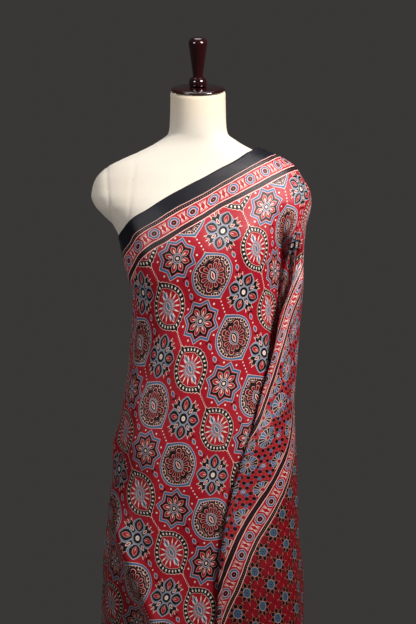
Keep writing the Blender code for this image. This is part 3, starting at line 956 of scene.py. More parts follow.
def ogees(net, c, at):
    """The blue toothed ogee and the black beaded one."""
    xh, yh, is_b = at["xh"], at["yh"], at["odd_h"]
    x, y = abs(xh), abs(yh)
    slim = scale_add(is_b, 1 / 37.5 - 1 / 43.0, 1 / 43.0)
    b = 52.3
    t = least(y / b, 1.03)
    t2 = square(t)
    t4 = square(t2)
    g = x * slim + t2 * 0.70 + t4 * 0.77 - square(t4) * 0.47 - 1.0
    slope = root(square(slim) + square(t * scale_add(t2, 3.08 / b, 1.4 / b)))
    d = least(-(g / slope), scale_add(y, -1.0, b + 0.5))
    r = radius(xh, yh)
    round_ = turn_of(yh, xh * 1.22)
    turn = turn_of(yh, xh)

    # the blue ogee
    ca = net.mix(c, PALE, above(d, 0.2))
    ca = net.mix(ca, BLUE, above(d, 0.9))
    ca = net.mix(ca, PALE, above(d, 4.5))
    tooth = abs(fold(round_, 1 / 38)) * 235 + abs(d - 8.2) * 0.25
    ca = net.mix(ca, BLACK, least(between(d, 5.7, 10.4), below(tooth, 2.75)))
    scallop = d + cosine(round_ * (2 * math.pi * 16)) * 1.2
    ca = net.mix(ca, BLACK, above(scallop, 11.8))
    ca = net.mix(ca, PALE, above(scallop, 14.9))
    ca = net.mix(ca, RED, above(scallop, 15.5))
    ca = net.mix(ca, BLACK, above(scallop, 16.2))
    loop = radius(x - 15.0, y - 21.0)
    ca = net.mix(ca, RED, below(loop, 9.4))
    ca = net.mix(ca, BLACK, below(abs(loop - 7.8), 1.4))
    ca = net.mix(ca, PALE, below(abs(loop - 5.6), 0.5))
    ca = net.mix(ca, BLACK, below(loop, 4.2))
    ca = net.mix(ca, RED, below(loop, 2.0))
    petal = abs(fold(turn, 1 / 12))
    part = scale_add(petal, -1.0, 1 / 24) * (r * 6.28)
    rim = r + square(petal) * 3000
    ca = net.mix(ca, BLACK, below(rim, 27.2))
    ca = net.mix(ca, PALE, least(below(rim, 24.6), above(part, 1.7)))
    ca = net.mix(ca, RED, least(below(rim, 23.8), above(part, 2.1)))
    ca = net.mix(ca, BLACK, inside(lens(r, petal * (r * 6.28), 18.0, 4.8, 1.3)))
    heart = lens(y, x, 0.0, 15.2, 10.6)
    ca = net.mix(ca, PALE, above(heart, -0.8))
    ca = net.mix(ca, BLUE, inside(heart))
    ca = net.mix(ca, PALE, above(heart, 2.5))
    ca = net.mix(ca, BLACK, above(heart, 3.3))
    ca = net.mix(ca, WHITE, above(heart, 6.7))
    ca = net.mix(ca, RED, above(heart, 8.4))

    # the black ogee
    hoop = d + cosine(round_ * (2 * math.pi * 28)) * 0.5
    cb = net.mix(c, PALE, above(hoop, -0.4))
    cb = net.mix(cb, BLACK, above(hoop, 0.5))
    bead = abs(fold(round_, 1 / 28, 1 / 56)) * 252
    cb = net.mix(cb, WHITE, least(below(bead, 1.8), below(abs(d - 5.3), 2.4), below(bead + abs(d - 5.3), 3.4)))
    cb = net.mix(cb, PALE, above(hoop, 10.1))
    cb = net.mix(cb, RED, above(hoop, 10.9))
    ray = abs(fold(turn, 1 / 14)) * (r * 6.28)
    cb = net.mix(cb, WHITE, inside(lens(r, ray, 18.8, 8.6, 1.35)))
    cb = net.mix(cb, PALE, inside(lens(r, ray, 13.0, 5.8, 1.9)))
    cb = net.mix(cb, LIGHT_BLUE, inside(lens(r, ray, 13.0, 5.0, 1.15)))
    cb = net.mix(cb, WHITE, inside(lens(y, x, 22.5, 10.5, 3.5)))
    cb = net.mix(cb, BLUE, inside(lens(y, x, 21.8, 8.8, 2.5)))
    heart = lens(y, x, 0.0, 14.5, 9.2)
    cb = net.mix(cb, PALE, above(heart, -0.9))
    cb = net.mix(cb, BLUE, inside(heart))
    cb = net.mix(cb, PALE, above(heart, 2.0))
    cb = net.mix(cb, BLACK, above(heart, 2.7))
    cb = net.mix(cb, PALE, above(heart, 4.3))
    cb = net.mix(cb, BLUE, above(heart, 6.0))
    return net.mix(ca, cb, is_b)


def medallions(net, c, at):
    """The eight-pointed blue star and the eight-petalled flower."""
    ax, ay = abs(at["x"]), abs(at["y"])
    big, small = most(ax, ay), least(ax, ay)
    r = radius(ax, ay)

    # the star, folded onto one of its sixteen half points
    t = big * C22 + small * S22
    n = abs(small * C22 - big * S22)
    px, py = t * C22 + n * S22, abs(t * S22 - n * C22)
    f1, f2 = px + py * 0.934, px + py * 1.108
    cs = net.mix(c, WHITE, least(below(radius(t, n, 40.0, 0.0), 1.9), above(f1, 41.0)))
    cs = net.mix(cs, PALE, below(f1, 41.8, 0.65))
    cs = net.mix(cs, BLUE, below(f1, 40.6, 0.65))
    cs = net.mix(cs, PALE, below(f1, 34.9, 0.65))
    cs = net.mix(cs, RED, below(f1, 33.9, 0.65))
    cs = net.mix(cs, BLACK, below(f2, 32.8, 0.65))
    leaf = lens(px, py, 18.0, 8.6, 5.3)
    cs = net.mix(cs, PALE, inside(leaf))
    cs = net.mix(cs, RED, above(leaf, 0.8))
    cs = net.mix(cs, WHITE, inside(lens(px, py, 15.2, 4.4, 1.2)))
    cs = net.mix(cs, PALE, below(r, 10.2))
    cs = net.mix(cs, BLUE, below(r, 9.5))
    cs = net.mix(cs, PALE, below(r, 7.0))
    cs = net.mix(cs, BLACK, below(r, 6.0))
    cs = net.mix(cs, WHITE, below(r, 2.9))

    # the flower: four broad petals on the diagonals, four spiked ones between
    a, b = (ax + ay) / math.sqrt(2), abs(ax - ay) / math.sqrt(2)
    body = lens(big, small, 22.0, 12.0, 8.4)
    horns = lens(big, abs(small - 5.4), 28.5, 8.5, 3.6)
    notch = lens(big, small, 37.0, 6.0, 2.2)
    outline = least(most(body, horns), scale_add(notch, -1.0, 0.0))
    turned_ = small / most(big, 1.0)
    rays = least(between(r, 34.5, 40.5), most(below(small, 0.7), below(abs(turned_ - 0.25) * 37, 0.7)))
    cf = net.mix(c, WHITE, rays)
    cf = net.mix(cf, PALE, above(outline, -0.9))
    cf = net.mix(cf, BLACK, inside(outline))
    core = lens(big, small, 21.5, 6.2, 3.0)
    cf = net.mix(cf, WHITE, inside(core))
    cf = net.mix(cf, RED, above(core, 1.3))
    broad = scale_add(lens(a, b, 24.0, 14.8, 13.8), 0.84, 0.0)
    cf = net.mix(cf, FROST, above(broad, -0.7))
    cf = net.mix(cf, LIGHT_BLUE, above(broad, 0.2))
    cf = net.mix(cf, FROST, above(broad, 2.0))
    cf = net.mix(cf, BLACK, above(broad, 2.5))
    cf = net.mix(cf, PALE, above(broad, 7.4))
    cf = net.mix(cf, RED, above(broad, 7.9))
    cf = net.mix(cf, PALE, inside(lens(a, b, 21.0, 3.6, 0.7)))
    cf = net.mix(cf, FROST, below(r, 12.6))
    cf = net.mix(cf, LIGHT_BLUE, below(r, 12.0))
    cf = net.mix(cf, FROST, below(r, 10.4))
    cf = net.mix(cf, BLACK, below(r, 9.7))
    cf = net.mix(cf, WHITE, below(r, 4.6))
    cf = net.mix(cf, PEACH, below(r, 1.3))
    return net.mix(cs, cf, at["odd"])


def stripe(net, c, t, s, phase):
    """The border block: t across it, s along it, its heavier ladder at positive t."""
    out = most(t - 25.4, -22.2 - t)
    c = net.mix(c, RED, below(out, 0.0))
    c = net.mix(c, WHITE, between(t, 24.1, 25.3))
    c = net.mix(c, BLACK, between(t, 14.9, 22.9))
    specks = least(below(abs(fold(s, 4.2)), 0.5, 0.35), below(abs(t - 18.9), 0.6))
    c = net.mix(c, srgb(120, 100, 100), specks)
    c = net.mix(c, WHITE, between(t, 12.5, 13.8))
    c = net.mix(c, WHITE, between(t, -13.8, -12.6))
    c = net.mix(c, BLACK, between(t, -20.3, -14.5))
    specks = least(below(abs(fold(s, 4.4)), 0.45, 0.35), below(abs(t + 17.4), 0.6))
    c = net.mix(c, srgb(196, 160, 150), specks)
    c = net.mix(c, WHITE, between(t, -22.3, -21.2))

    at = abs(fold(s, ROSE * 1000, phase + ROSE * 500))
    w = abs(t)
    q = abs(at - 4.4)
    stem = below(q, 0.45)
    arm = least(below(abs(q - scale_add(w, 0.36, -0.1)), 0.45), above(w, 1.6))
    c = net.mix(c, WHITE, least(most(stem, arm), below(w, 9.2), below(at, 8.6)))

    along = fold(s, ROSE * 1000, phase)
    r = radius(along * 0.86, t)
    lobes = r - cosine(turn_of(t, along) * (2 * math.pi * 8)) * 0.45
    c = net.mix(c, PALE, below(lobes, 10.2))
    c = net.mix(c, BLUE, below(lobes, 9.4))
    c = net.mix(c, PALE, below(r, 6.2))
    c = net.mix(c, RED, below(r, 5.2))
    c = net.mix(c, BLACK, below(r, 4.2))
    return net.mix(c, PEACH, below(r, 0.9))


LATTICE_U, LATTICE_V, LATTICE = 460.0, 614.0, 70.0


def lattice_panel(net, u, v):
    """The panel of fans between the two stripes, on a ground of small tiles."""
    pitch, row = 8.2, 7.3
    my = fold(v, row)
    j = (v - my) / row
    along = u - j * (pitch / 2)
    mx = fold(along, pitch)
    i = (along - mx) / pitch
    side = most(abs(mx), abs(mx) * 0.5 + abs(my) * 0.87)
    tile = (side + radius(mx, my)) * 0.5
    third = below(abs(fold(i - j, 3.0)), 0.5)
    fourth = least(below(abs(fold(i - j - 1.0, 3.0)), 0.5), below(abs(fold(j, 3.0)), 0.5))
    c = net.mix(TILE_LINE, RED, below(tile, 3.6))
    c = net.mix(c, BLACK, least(third, below(tile, 4.15)))
    c = net.mix(c, BLUE, least(fourth, below(tile, 3.6)))
    x, y = u - LATTICE_U, fold(v, LATTICE, LATTICE_V)
    # full fans down the middle
    turn = turn_of(y * 0.8, x)
    seam = abs(fold(turn, 1 / 16))
    r = radius(x, y * 0.8)
    size = r + square(fold(turn, 1 / 16, 1 / 32)) * 1900
    c = net.mix(c, PALE, below(size, 19.4))
    wedge = least(below(size, 18.6), above(seam * (r * 6.28), 0.5))
    c = net.mix(c, BLACK, wedge)
    c = net.mix(c, BLUE, least(wedge, below(abs(fold(turn, 1 / 4)), 1 / 16, 0.004)))
    c = net.mix(c, PALE, below(r, 4.6))
    c = net.mix(c, RED, below(r, 3.8))
    # half fans on both stripes
    edge = least(u, 950.0 - u) - 424.5
    hx = edge - 5.0
    hy = fold(v, LATTICE, LATTICE_V + LATTICE / 2)
    hr = radius(hx, hy)
    hturn = turn_of(hy, hx)
    hsize = hr + square(fold(hturn, 1 / 16, 1 / 32)) * 1900
    hseam = abs(fold(hturn, 1 / 16))
    c = net.mix(c, PALE, least(below(hsize, 19.4), above(hx, -2.0)))
    wedge = least(below(hsize, 18.6), above(hseam * (hr * 6.28), 0.5), above(hx, -1.0))
    c = net.mix(c, BLACK, wedge)
    c = net.mix(c, BLUE, least(wedge, above(abs(fold(hturn, 1 / 4)), 1 / 16, 0.004)))
    c = net.mix(c, RED, most(below(hr, 3.8), below(edge, 2.8)))
    # small blue rosettes between them
    q = radius(abs(x) - 29.5, fold(v, LATTICE, LATTICE_V - 13.0))
    c = net.mix(c, PEACH, below(q, 6.2))
    c = net.mix(c, BLUE, below(q, 5.6))
    return net.mix(c, PALE, below(abs(q - 2.6), 0.6))


def star_panel(net, u, v, phase):
    """The field of small stars at the end of the cloth."""
    pitch = STAR * 1000
    x, y = abs(fold(u, pitch, STAR_U * 1000)), abs(fold(v, pitch, phase))
    ex, ey = pitch / 2 - x, pitch / 2 - y
    f = least(radius(ex - 9.6, ey), radius(ex, ey - 9.6), radius(ex - 7.5, ey - 7.5) + 1.2)
    c = net.mix(DARK_RED, DEEP_RED, below(f, 7.4))
    slant, cross = abs(x - y), x + y
    reach = abs(cross - (pitch - 13.5))
    strokes = most(below(slant + reach * 0.30, 1.25), below(slant + abs(cross - 31.0) * 0.3, 1.2))
    strokes = least(strokes, most(below(reach, 4.0), below(abs(cross - 31.0), 3.6)))
    links = least(below(least(ex, ey), 0.75), between(most(ex, ey), pitch / 2 - 3.2, pitch / 2 + 1.0))
    c = net.mix(c, PEACH, most(strokes, links))
    big, small = most(x, y), least(x, y)
    t = big * C22 + small * S22
    n = abs(small * C22 - big * S22)
    px, py = t * C22 + n * S22, abs(t * S22 - n * C22)
    q = lens(px, py, 13.8, 5.4, 3.9)
    c = net.mix(c, PEACH, above(q, -0.8))
    c = net.mix(c, BLACK, inside(q))
    r = radius(x, y)
    c = net.mix(c, PALE, below(r, 9.3))
    c = net.mix(c, STAR_BLUE, below(r, 8.8))
    c = net.mix(c, DARK_BLUE, most(below(radius(t, n, 6.4, 0.0), 1.6), below(radius(px, py, 4.0, 0.0), 1.1)))
    return net.mix(c, BLACK, below(r, 1.8))

# ==================================================================== the cloth
THICKNESS = 0.0009


def build_cloth():
    """The draped sheet with its print coordinates, as one closed mesh."""
    groups, G, A, plain, P = drape()
    U, V, phase = print_coordinates(plain, groups, A, G)
    n, m = P.shape[:2]
    di = np.gradient(P, axis=0)
    dj = np.gradient(P, axis=1)
    N = np.cross(dj, di)
    N /= np.linalg.norm(N, axis=2)[..., None]
    # lengths along the cloth to its lower edge and to its free end
    sv = np.concatenate([np.zeros((n, 1)), np.cumsum(np.linalg.norm(np.diff(P, axis=1), axis=2), 1)], 1)
    su = np.concatenate([np.zeros((1, m)), np.cumsum(np.linalg.norm(np.diff(P, axis=0), axis=2), 0)])
    hem, end, start = sv[:, -1:] - sv, su[-1:] - su, su
    top = sv
    # the turned hem, the selvedge and the rolled end are a little thicker
    half = THICKNESS / 2 * (1 + 0.9 * (hem < 0.007) + 0.5 * (top < 0.004) + 0.9 * (end < 0.007))
    front, back = P + N * half[..., None], P - N * half[..., None]
    verts = np.concatenate([front.reshape(-1, 3), back.reshape(-1, 3)])
    cell = lambda i, j: i * m + j
    i, j = np.meshgrid(np.arange(n - 1), np.arange(m - 1), indexing="ij")
    i, j = i.ravel(), j.ravel()
    quads = np.stack([cell(i, j), cell(i, j + 1), cell(i + 1, j + 1), cell(i + 1, j)], 1)
    on_outer = np.isin(groups[:-1], ("turn_out", "outer")) | np.isin(groups[1:], ("outer",))
    side = np.where(on_outer[i], 1, 0)
    total = n * m
    faces = [quads, quads[:, ::-1] + total]
    slots = [side, np.full(len(side), 2)]
    ring = [(k, 0) for k in range(n)] + [(n - 1, k) for k in range(1, m)]
    ring += [(k, m - 1) for k in range(n - 2, -1, -1)] + [(0, k) for k in range(m - 2, 0, -1)]
    ring = np.array([cell(a, b) for a, b in ring])
    after = np.roll(ring, -1)
    faces.append(np.stack([ring, after, after + total, ring + total], 1))
    slots.append(np.where(on_outer[np.minimum(ring // m, n - 2)], 1, 0))
    faces, slots = np.concatenate(faces), np.concatenate(slots)

    mesh = bpy.data.meshes.new("sari_cloth_fine")
    mesh.vertices.add(len(verts))
    mesh.vertices.foreach_set("co", verts.ravel())
    mesh.loops.add(4 * len(faces))
    mesh.loops.foreach_set("vertex_index", faces.ravel().astype(np.int32))
    mesh.polygons.add(len(faces))
    mesh.polygons.foreach_set("loop_start", np.arange(0, 4 * len(faces), 4, dtype=np.int32))
    mesh.polygons.foreach_set("material_index", slots.astype(np.int32))
    mesh.update(calc_edges=True)
    mesh.validate()

    def store(name, a, b, c):
        data = np.stack([a, b, c], -1).reshape(-1, 3)
        mesh.attributes.new(name, "FLOAT_VECTOR", "POINT").data.foreach_set(
            "vector", np.concatenate([data, data]).astype(np.float32).ravel()
        )

    store("cloth_print", U * 1000, V * 1000, 0 * U)
    store("cloth_edges", hem * 1000, end * 1000, start * 1000)
    mesh.shade_smooth()
    piece = bpy.data.objects.new("sari_cloth_draped", mesh)
    scene.collection.objects.link(piece)
    width = np.linalg.norm(np.diff(P, axis=0), axis=2)
    height = np.linalg.norm(np.diff(P, axis=1), axis=2)
    area = float((0.25 * (width[:, 1:] + width[:, :-1]) * (height[1:] + height[:-1])).sum())
    return piece, phase, area, float(U.max() - U.min()), float(V.max() - V.min())

# ==================================================================== materials
def material(name, roughness, **values):
    """A material whose constant values sit on the shader's own sockets."""
    m = bpy.data.materials.new(name)
    m.use_nodes = True
    tree = m.node_tree
    tree.nodes.clear()
    return m, Net(tree), dict(Roughness=roughness, **values)


def finish_material(m, net, values, colour, normal=None, roughness=None):
    shader = net.new("ShaderNodeBsdfPrincipled")
    for key, value in values.items():
        shader.inputs[key].default_value = value
    net.feed(shader.inputs["Base Color"], colour)
    if roughness is not None:
        net.feed(shader.inputs["Roughness"], roughness)
    if normal is not None:
        net.feed(shader.inputs["Normal"], normal)
    out = net.new("ShaderNodeOutputMaterial")
    net.tree.links.new(shader.outputs["BSDF"], out.inputs["Surface"])
    return m


def split(net, socket):
    node = net.new("ShaderNodeSeparateXYZ")
    net.tree.links.new(socket, node.inputs[0])
    return [Term(net, s) for s in node.outputs]


def attribute(net, name):
    return net.new("ShaderNodeAttribute", attribute_type="GEOMETRY", attribute_name=name).outputs["Vector"]


def noise(net, vector, scale, detail=2.0, roughness=0.5, out="Fac"):
    node = net.new("ShaderNodeTexNoise", noise_dimensions="3D")
    net.tree.links.new(vector, node.inputs["Vector"])
    node.inputs["Scale"].default_value = scale
    node.inputs["Detail"].default_value = detail
    node.inputs["Roughness"].default_value = roughness
    return node.outputs["Fac"] if out == "Fac" else node.outputs["Color"]


def shade(net, colour, amount):
    """The colour made lighter or darker by a factor."""
    node = net.new("ShaderNodeVectorMath", operation="SCALE")
    net.feed(node.inputs[0], colour)
    net.feed(node.inputs["Scale"], amount)
    return Term(net, node.outputs[0])


def bump(net, height, distance, strength=1.0):
    node = net.new("ShaderNodeBump")
    node.inputs["Strength"].default_value = strength
    node.inputs["Distance"].default_value = distance
    net.feed(node.inputs["Height"], height)
    return Term(net, node.outputs["Normal"])


def cloth_material(name, kind, phase):
    m, net, values = material(
        name,
        0.40,
        **{
            "Specular IOR Level": 0.34,
            "Sheen Weight": 0.02,
            "Sheen Roughness": 0.35,
            "Sheen Tint": (1.0, 0.86, 0.84, 1.0),
            "Anisotropic": 0.0,
        },
    )
    place_ = attribute(net, "cloth_print")
    u, v, _ = split(net, place_)
    hem, end, start = split(net, attribute(net, "cloth_edges"))
    # hand-stamped blocks never sit quite straight
    wander = split(net, noise(net, place_, 0.035, 1.0, 0.5, "Color"))
    shiver = split(net, noise(net, place_, 0.22, 1.0, 0.5, "Color"))
    u = u + scale_add(wander[0], 2.4, -1.2) + scale_add(shiver[0], 0.9, -0.45)
    v = v + scale_add(wander[1], 2.0, -1.0) + scale_add(shiver[1], 0.9, -0.45)
    dye = Term(net, noise(net, place_, 0.012, 3.0, 0.6))
    grain = Term(net, noise(net, place_, 0.9, 2.0, 0.6))
    ground = net.mix(RED, DEEP_RED, scale_add(dye, 0.9, -0.30))
    edge = least(v, hem)
    t, s, block = edge - 49.3, u, phase["border"]

    at = half_drop(net, u, v)
    c = sprigs(net, ground, at)
    c = ogees(net, c, at)
    c = medallions(net, c, at)
    if kind == "outer":
        c = net.mix(c, lattice_panel(net, u, v), between(u, 400.0, 550.0, 0.2))
        c = net.mix(c, star_panel(net, u, v, phase["stars"]), above(u, 550.0, 0.2))
        across = 75.0 - abs(u - 475.0)
        on_edge = above(net.math("SUBTRACT", 75.4, edge), 0.0, 0.02)
        on_edge = net.math("MINIMUM", net.math("MAXIMUM", on_edge, 0.0), 1.0)
        first = net.math("LESS_THAN", u, 475.0)
        block = pick(pick(phase["second"], phase["first"], first), phase["border"], on_edge)
        t, s = pick(across, t, on_edge), pick(v, u, on_edge)
        c = net.mix(c, ground, between(edge, 0.0, 75.4, 0.05))
    c = stripe(net, c, t, s - block, 0.0)
    c = net.mix(c, EDGE_BLACK, below(edge, 27.4))
    c = net.mix(c, WHITE, between(end, 29.0, 30.8))
    c = net.mix(c, EDGE_BLACK, below(least(end, start), 27.0))
    if kind == "reverse":
        c = net.mix(c, srgb(196, 120, 112), 0.30)
    c = shade(net, c, scale_add(dye, 0.30, 0.85) + scale_add(grain, 0.24, -0.12))
    # satin weave: fine warp ridges crossed by a fainter weft
    weave = sine(u * 11.0) * 0.6 + sine(v * 9.0) * 0.4
    slub = Term(net, noise(net, place_, 0.35, 3.0, 0.65))
    normal = bump(net, weave * 0.25 + slub, 0.00016, 0.8)
    gloss = scale_add(slub, 0.16, 0.31)
    return finish_material(m, net, values, c, normal, gloss)


def linen_material():
    m, net, values = material("form_linen_woven", 0.82, **{"Specular IOR Level": 0.25, "Sheen Weight": 0.25, "Sheen Roughness": 0.5})
    where = net.new("ShaderNodeTexCoord").outputs["Object"]
    x, y, z = split(net, where)
    blotch = Term(net, noise(net, where, 9.0, 3.0, 0.6))
    slub = net.new("ShaderNodeMapping")
    slub.inputs["Scale"].default_value = (1.0, 1.0, 0.12)
    net.tree.links.new(where, slub.inputs["Vector"])
    warp = Term(net, noise(net, slub.outputs["Vector"], 900.0, 2.0, 0.7))
    slub2 = net.new("ShaderNodeMapping")
    slub2.inputs["Scale"].default_value = (0.12, 0.12, 1.0)
    net.tree.links.new(where, slub2.inputs["Vector"])
    weft = Term(net, noise(net, slub2.outputs["Vector"], 900.0, 2.0, 0.7))
    c = net.mix(LINEN, LINEN_WARM, scale_add(blotch, 0.9, -0.35))
    c = net.mix(c, LINEN_WARM, scale_add(z, 12.0, -16.9))
    c = shade(net, c, scale_add(warp + weft, 0.10, 0.90))
    seam = split(net, attribute(net, "seam"))[0]
    # painted shade: the linen is darkened towards LINEN_SHADE along the seam grooves
    c = net.mix(c, LINEN_SHADE, scale_add(seam, -900.0, 1.15) * 0.55)
    return finish_material(m, net, values, c, bump(net, warp + weft, 0.0002, 0.6))


def wood_material():
    m, net, values = material(
        "dark_wood_gloss", 0.16, **{"Specular IOR Level": 0.6, "Coat Weight": 1.0, "Coat Roughness": 0.04, "Coat IOR": 1.5}
    )
    where = net.new("ShaderNodeTexCoord").outputs["Object"]
    stretch = net.new("ShaderNodeMapping")
    stretch.inputs["Scale"].default_value = (1.0, 1.0, 0.07)
    net.tree.links.new(where, stretch.inputs["Vector"])
    fine = Term(net, noise(net, stretch.outputs["Vector"], 420.0, 3.0, 0.6))
    broad = Term(net, noise(net, stretch.outputs["Vector"], 70.0, 2.0, 0.5))
    c = net.mix(srgb(22, 5, 7), srgb(52, 7, 11), scale_add(broad, 2.0, -0.6))
    c = net.mix(c, srgb(12, 4, 5), scale_add(fine, 1.8, -1.1))
    return finish_material(m, net, values, c, bump(net, fine, 0.00012, 0.35), scale_add(fine, 0.10, 0.12))


def paint_material(name, colour):
    m, net, values = material(name, 0.38, **{"Metallic": 0.0, "Specular IOR Level": 0.5})
    where = net.new("ShaderNodeTexCoord").outputs["Object"]
    peel = Term(net, noise(net, where, 700.0, 2.0, 0.5))
    dust = Term(net, noise(net, where, 22.0, 4.0, 0.6))
    c = net.mix(colour, tuple(k * 1.9 + 0.01 for k in colour), scale_add(dust, 1.6, -0.75))
    return finish_material(m, net, values, c, bump(net, peel, 0.0001, 0.4), scale_add(dust, 0.25, 0.26))


def floor_material():
    m, net, values = material("floor_pale", 0.75, **{"Specular IOR Level": 0.3})
    where = net.new("ShaderNodeTexCoord").outputs["Object"]
    cloud = Term(net, noise(net, where, 3.0, 3.0, 0.5))
    c = net.mix(srgb(222, 218, 212), srgb(206, 202, 196), cloud)
    return finish_material(m, net, values, c)


LINEN, LINEN_WARM, LINEN_SHADE = srgb(232, 224, 210), srgb(236, 218, 192), srgb(168, 148, 120)

# ==================================================================== form and stand
TURNING = Matrix.Translation((0, NECK_LEAN, NECK_TOP)) @ Matrix.Rotation(NECK_TILT, 4, "X")
# seams of the form's cover: name, x at the height z0, and how x runs inward below it
ARM_SEAM = (0.1885, 1.346, 0.086)
BODICE_SEAM = (0.1270, 1.376, -0.105)


def add_piece(name, mesh, material_, smooth_angle=None):
    piece = bpy.data.objects.new(name, mesh)
    scene.collection.objects.link(piece)
    mesh.materials.append(material_)
    mesh.shade_smooth()
    if smooth_angle:
        mesh.set_sharp_from_angle(angle=math.radians(smooth_angle))
    return piece


def build_form():
    """The form's body: the same sections as the solid's, more finely lofted."""
    rings, columns = 190, 240
    zs = np.concatenate([[0.740, 0.7415, 0.7435], np.linspace(0.746, 1.24, 90)[:-1], np.linspace(1.24, 1.5012, rings - 92)])
    angle = np.linspace(0, 360, columns, endpoint=False)
    A, Z = np.meshgrid(angle, zs)
    half, front, back, centre, rounded = (curve(FORM, Z, k) for k in (1, 2, 3, 4, 5))
    x, y = oval(A, half, half, front, back, rounded)
    seam = np.full(x.shape, 1.0)
    for at, top, run, low in ((*ARM_SEAM, 1.215), (*BODICE_SEAM, 0.80)):
        d = np.abs(np.abs(x) - (at - (top - Z) * run))
        d = np.where((Z < low) | (Z > top + 0.004) | ((y > 0) & (at < 0.15)), 1.0, d)
        seam = np.minimum(seam, d)
    seam = np.minimum(seam, np.where((Z < 1.40) & (y > 0), np.abs(x), 1.0))
    sink = 0.0011 * np.exp(-((seam / 0.0030) ** 2))
    # the padded arm stumps swell a little outside their seam
    outside = np.abs(x) - (ARM_SEAM[0] - (ARM_SEAM[1] - Z) * ARM_SEAM[2])
    swell = 0.0016 * np.clip(outside / 0.012, 0, 1) * ((Z > 1.215) & (Z < 1.35))
    k = 1 + (swell - sink) / np.hypot(x, y)
    x, y = x * k, y * k
    # the neck leans forward, and its top rim is softly rounded
    rim = np.clip((Z - 1.4952) / 0.006, 0, 1)
    x, y = x * (1 - 0.035 * rim**2), y * (1 - 0.035 * rim**2)
    tilt = NECK_TILT * ease((Z - TILT_FROM) / (NECK_TOP - TILT_FROM))
    points = np.stack([x, y + centre, Z + y * np.tan(tilt)], -1)
    mesh = bpy.data.meshes.new("form_body_fine")
    bm = bmesh.new()
    layer = bm.verts.layers.float_vector.new("seam")
    grid = []
    for row, marks in zip(points, seam):
        line = []
        for p, d in zip(row, marks):
            vert = bm.verts.new(p)
            vert[layer] = (min(d, 1.0), 0, 0)
            line.append(vert)
        grid.append(line)
    for low, high in zip(grid, grid[1:]):
        for k in range(columns):
            j = (k + 1) % columns
            bm.faces.new((low[k], low[j], high[j], high[k]))
    bm.faces.new(grid[0][::-1])
    bm.faces.new(grid[-1])
    bmesh.ops.recalc_face_normals(bm, faces=bm.faces)
    bm.to_mesh(mesh)
    bm.free()
    return add_piece("form_body_cover", mesh, linen_material(), 50)


def rounded(profile, passes=2):
    """The profile with its corners cut smooth, ends kept."""
    for _ in range(passes):
        line = [profile[0]]
        for (r0, z0), (r1, z1) in zip(profile, profile[1:]):
            line += [(0.75 * r0 + 0.25 * r1, 0.75 * z0 + 0.25 * z1), (0.25 * r0 + 0.75 * r1, 0.25 * z0 + 0.75 * z1)]
        profile = line + [profile[-1]]
    return profile


def turned(name, profile, material_, steps, place_=Matrix.Identity(4), passes=2):
    profile = rounded(profile, passes)
    bm = bmesh.new()
    rings = []
    for r, z in profile:
        if r < 1e-6:
            rings.append([bm.verts.new((0, 0, z))])
        else:
            rings.append([bm.verts.new((r * math.cos(2 * math.pi * k / steps), r * math.sin(2 * math.pi * k / steps), z)) for k in range(steps)])
    for a, b in zip(rings, rings[1:]):
        for k in range(steps):
            j = (k + 1) % steps
            if len(a) == 1 and len(b) == 1:
                continue
            if len(a) == 1:
                bm.faces.new((a[0], b[k], b[j]))
            elif len(b) == 1:
                bm.faces.new((a[k], b[0], a[j]))
            else:
                bm.faces.new((a[k], b[k], b[j], a[j]))
    bmesh.ops.recalc_face_normals(bm, faces=bm.faces)
    mesh = bpy.data.meshes.new(name)
    bm.to_mesh(mesh)
    bm.free()
    piece = add_piece(name, mesh, material_, 40)
    piece.matrix_world = place_
    return piece


form = build_form()
wood = wood_material()
steel = paint_material("stand_paint", (0.030, 0.030, 0.033))
cap = turned(
    "neck_cap_turned",
    [
        (0.0, CAP_CROWN), (0.022, CAP_CROWN - 0.0002), (0.040, CAP_CROWN - 0.0012), (0.050, CAP_EDGE + 0.0006),
        (CAP_RADIUS - 0.0022, CAP_EDGE - 0.0006), (CAP_RADIUS, CAP_EDGE - 0.0026), (CAP_RADIUS, CAP_EDGE - 0.0046),
        (CAP_RADIUS - 0.0008, 0.0018), (CAP_RADIUS - 0.003, GAP), (0.0, GAP),
    ],
    wood, 128, TURNING,
)
handle = turned("finial_turned", [(r * (1.0 if k else 1.0), z) for k, (r, z) in enumerate(FINIAL)], wood, 96, TURNING @ Matrix.Translation((0, 0, CAP_CROWN)))
base = turned(
    "stand_base_spun",
    [
        (0.0, BASE_THICKNESS + 0.006), (0.0300, BASE_THICKNESS + 0.0052), (0.080, BASE_THICKNESS + 0.0022),
        (BASE_RADIUS - 0.012, BASE_THICKNESS - 0.001), (BASE_RADIUS - 0.003, BASE_THICKNESS - 0.004),
        (BASE_RADIUS, BASE_THICKNESS - 0.009), (BASE_RADIUS, 0.002), (BASE_RADIUS - 0.002, 0.0), (0.0, 0.0),
    ],
    steel, 144, passes=1,
)
POLE_LOW, POLE_HIGH = BASE_THICKNESS + 0.006 + GAP, FORM_BOTTOM - GAP
pole = turned(
    "stand_pole_tube",
    [
        (0.0, POLE_HIGH), (POLE_RADIUS - 0.0004, POLE_HIGH), (POLE_RADIUS, POLE_HIGH - 0.0008), (POLE_RADIUS, POLE_LOW + 0.30),
        (POLE_RADIUS, POLE_LOW + 0.0008), (POLE_RADIUS - 0.0004, POLE_LOW), (0.0, POLE_LOW),
    ],
    steel, 64, passes=1,
)

# ==================================================================== pieces on the frame
cloth, phases, cloth_area, run, drop = build_cloth()
starts = {
    key: float(np.angle(np.mean(np.exp(2j * np.pi * np.array(values) / pitch)))) / (2 * math.pi) * pitch * 1000
    for key, values, pitch in (
        ("border", phases["border"], ROSE), ("first", phases["first"], ROSE),
        ("second", phases["second"], ROSE), ("stars", phases["stars"], STAR),
    )
}
for kind in ("inner", "outer", "reverse"):
    cloth.data.materials.append(cloth_material("ajrakh_cloth_" + kind, kind, starts))

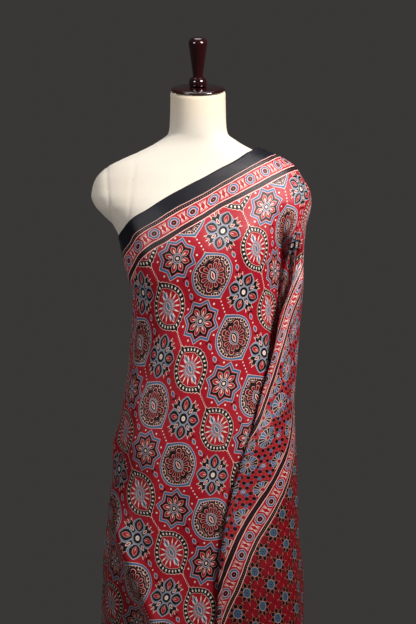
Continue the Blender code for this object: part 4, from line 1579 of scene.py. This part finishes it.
for piece, node, finish in (
    (cloth, "sari_cloth", "ajrakh_cloth"),
    (form, "form_body", "form_linen"),
    (cap, "neck_cap", "dark_wood"),
    (handle, "finial", "dark_wood"),
    (base, "stand_base", "stand_steel"),
    (pole, "stand_pole", "stand_steel"),
):
    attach(piece, "root")
    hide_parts(node)

# ==================================================================== floor, light, camera
bpy.ops.mesh.primitive_circle_add(vertices=96, radius=2.3, fill_type="NGON", location=(0, 0, -0.0004))
floor_disc = bpy.context.object
floor_disc.name = "floor"
floor_disc.data.materials.append(floor_material())

world = bpy.data.worlds.new("studio")
scene.world = world
world.use_nodes = True
world.node_tree.nodes["Background"].inputs["Color"].default_value = (0.30, 0.28, 0.27, 1)
world.node_tree.nodes["Background"].inputs["Strength"].default_value = 0.14

LIGHTS = [
    # name, place, aim, size, power, spread in degrees, colour
    ("key", (1.30, -1.20, 2.40), (0.06, -0.05, 1.30), 0.6, 11.2, 74, (1.0, 0.97, 0.94)),
    ("fill", (-1.70, -1.70, 2.20), (-0.16, 0.0, 1.40), 0.9, 1.35, 36, (0.98, 0.98, 1.0)),
    ("top", (0.0, 0.10, 2.90), (0.0, 0.0, 1.50), 1.0, 1.7, 80, (0.96, 0.98, 1.0)),
]
for name, where, aim, size, power, spread, colour in LIGHTS:
    light = bpy.data.lights.new(name, "AREA")
    light.shape = "RECTANGLE"
    light.size, light.size_y, light.energy, light.color = size, size, power, colour
    light.spread = math.radians(spread)
    lamp = bpy.data.objects.new(name, light)
    lamp.location = where
    lamp.rotation_euler = (Vector(aim) - Vector(where)).to_track_quat("-Z", "Y").to_euler()
    scene.collection.objects.link(lamp)

lens_ = bpy.data.cameras.new("camera")
lens_.sensor_width = 36.0
lens_.sensor_fit = "AUTO"
lens_.lens = 36.0 * 5.0 / (624 * PIXEL)
lens_.clip_start, lens_.clip_end = 0.1, 30.0
camera = bpy.data.objects.new("camera", lens_)
camera.location = tuple(EYE)
camera.rotation_euler = Vector(tuple(AIM - EYE)).to_track_quat("-Z", "Y").to_euler()
scene.collection.objects.link(camera)
scene.camera = camera
scene.view_settings.view_transform = "Standard"
scene.view_settings.look = "None"

print("cloth area", round(cloth_area, 3), "run", round(run, 3), "drop", round(drop, 3), starts)
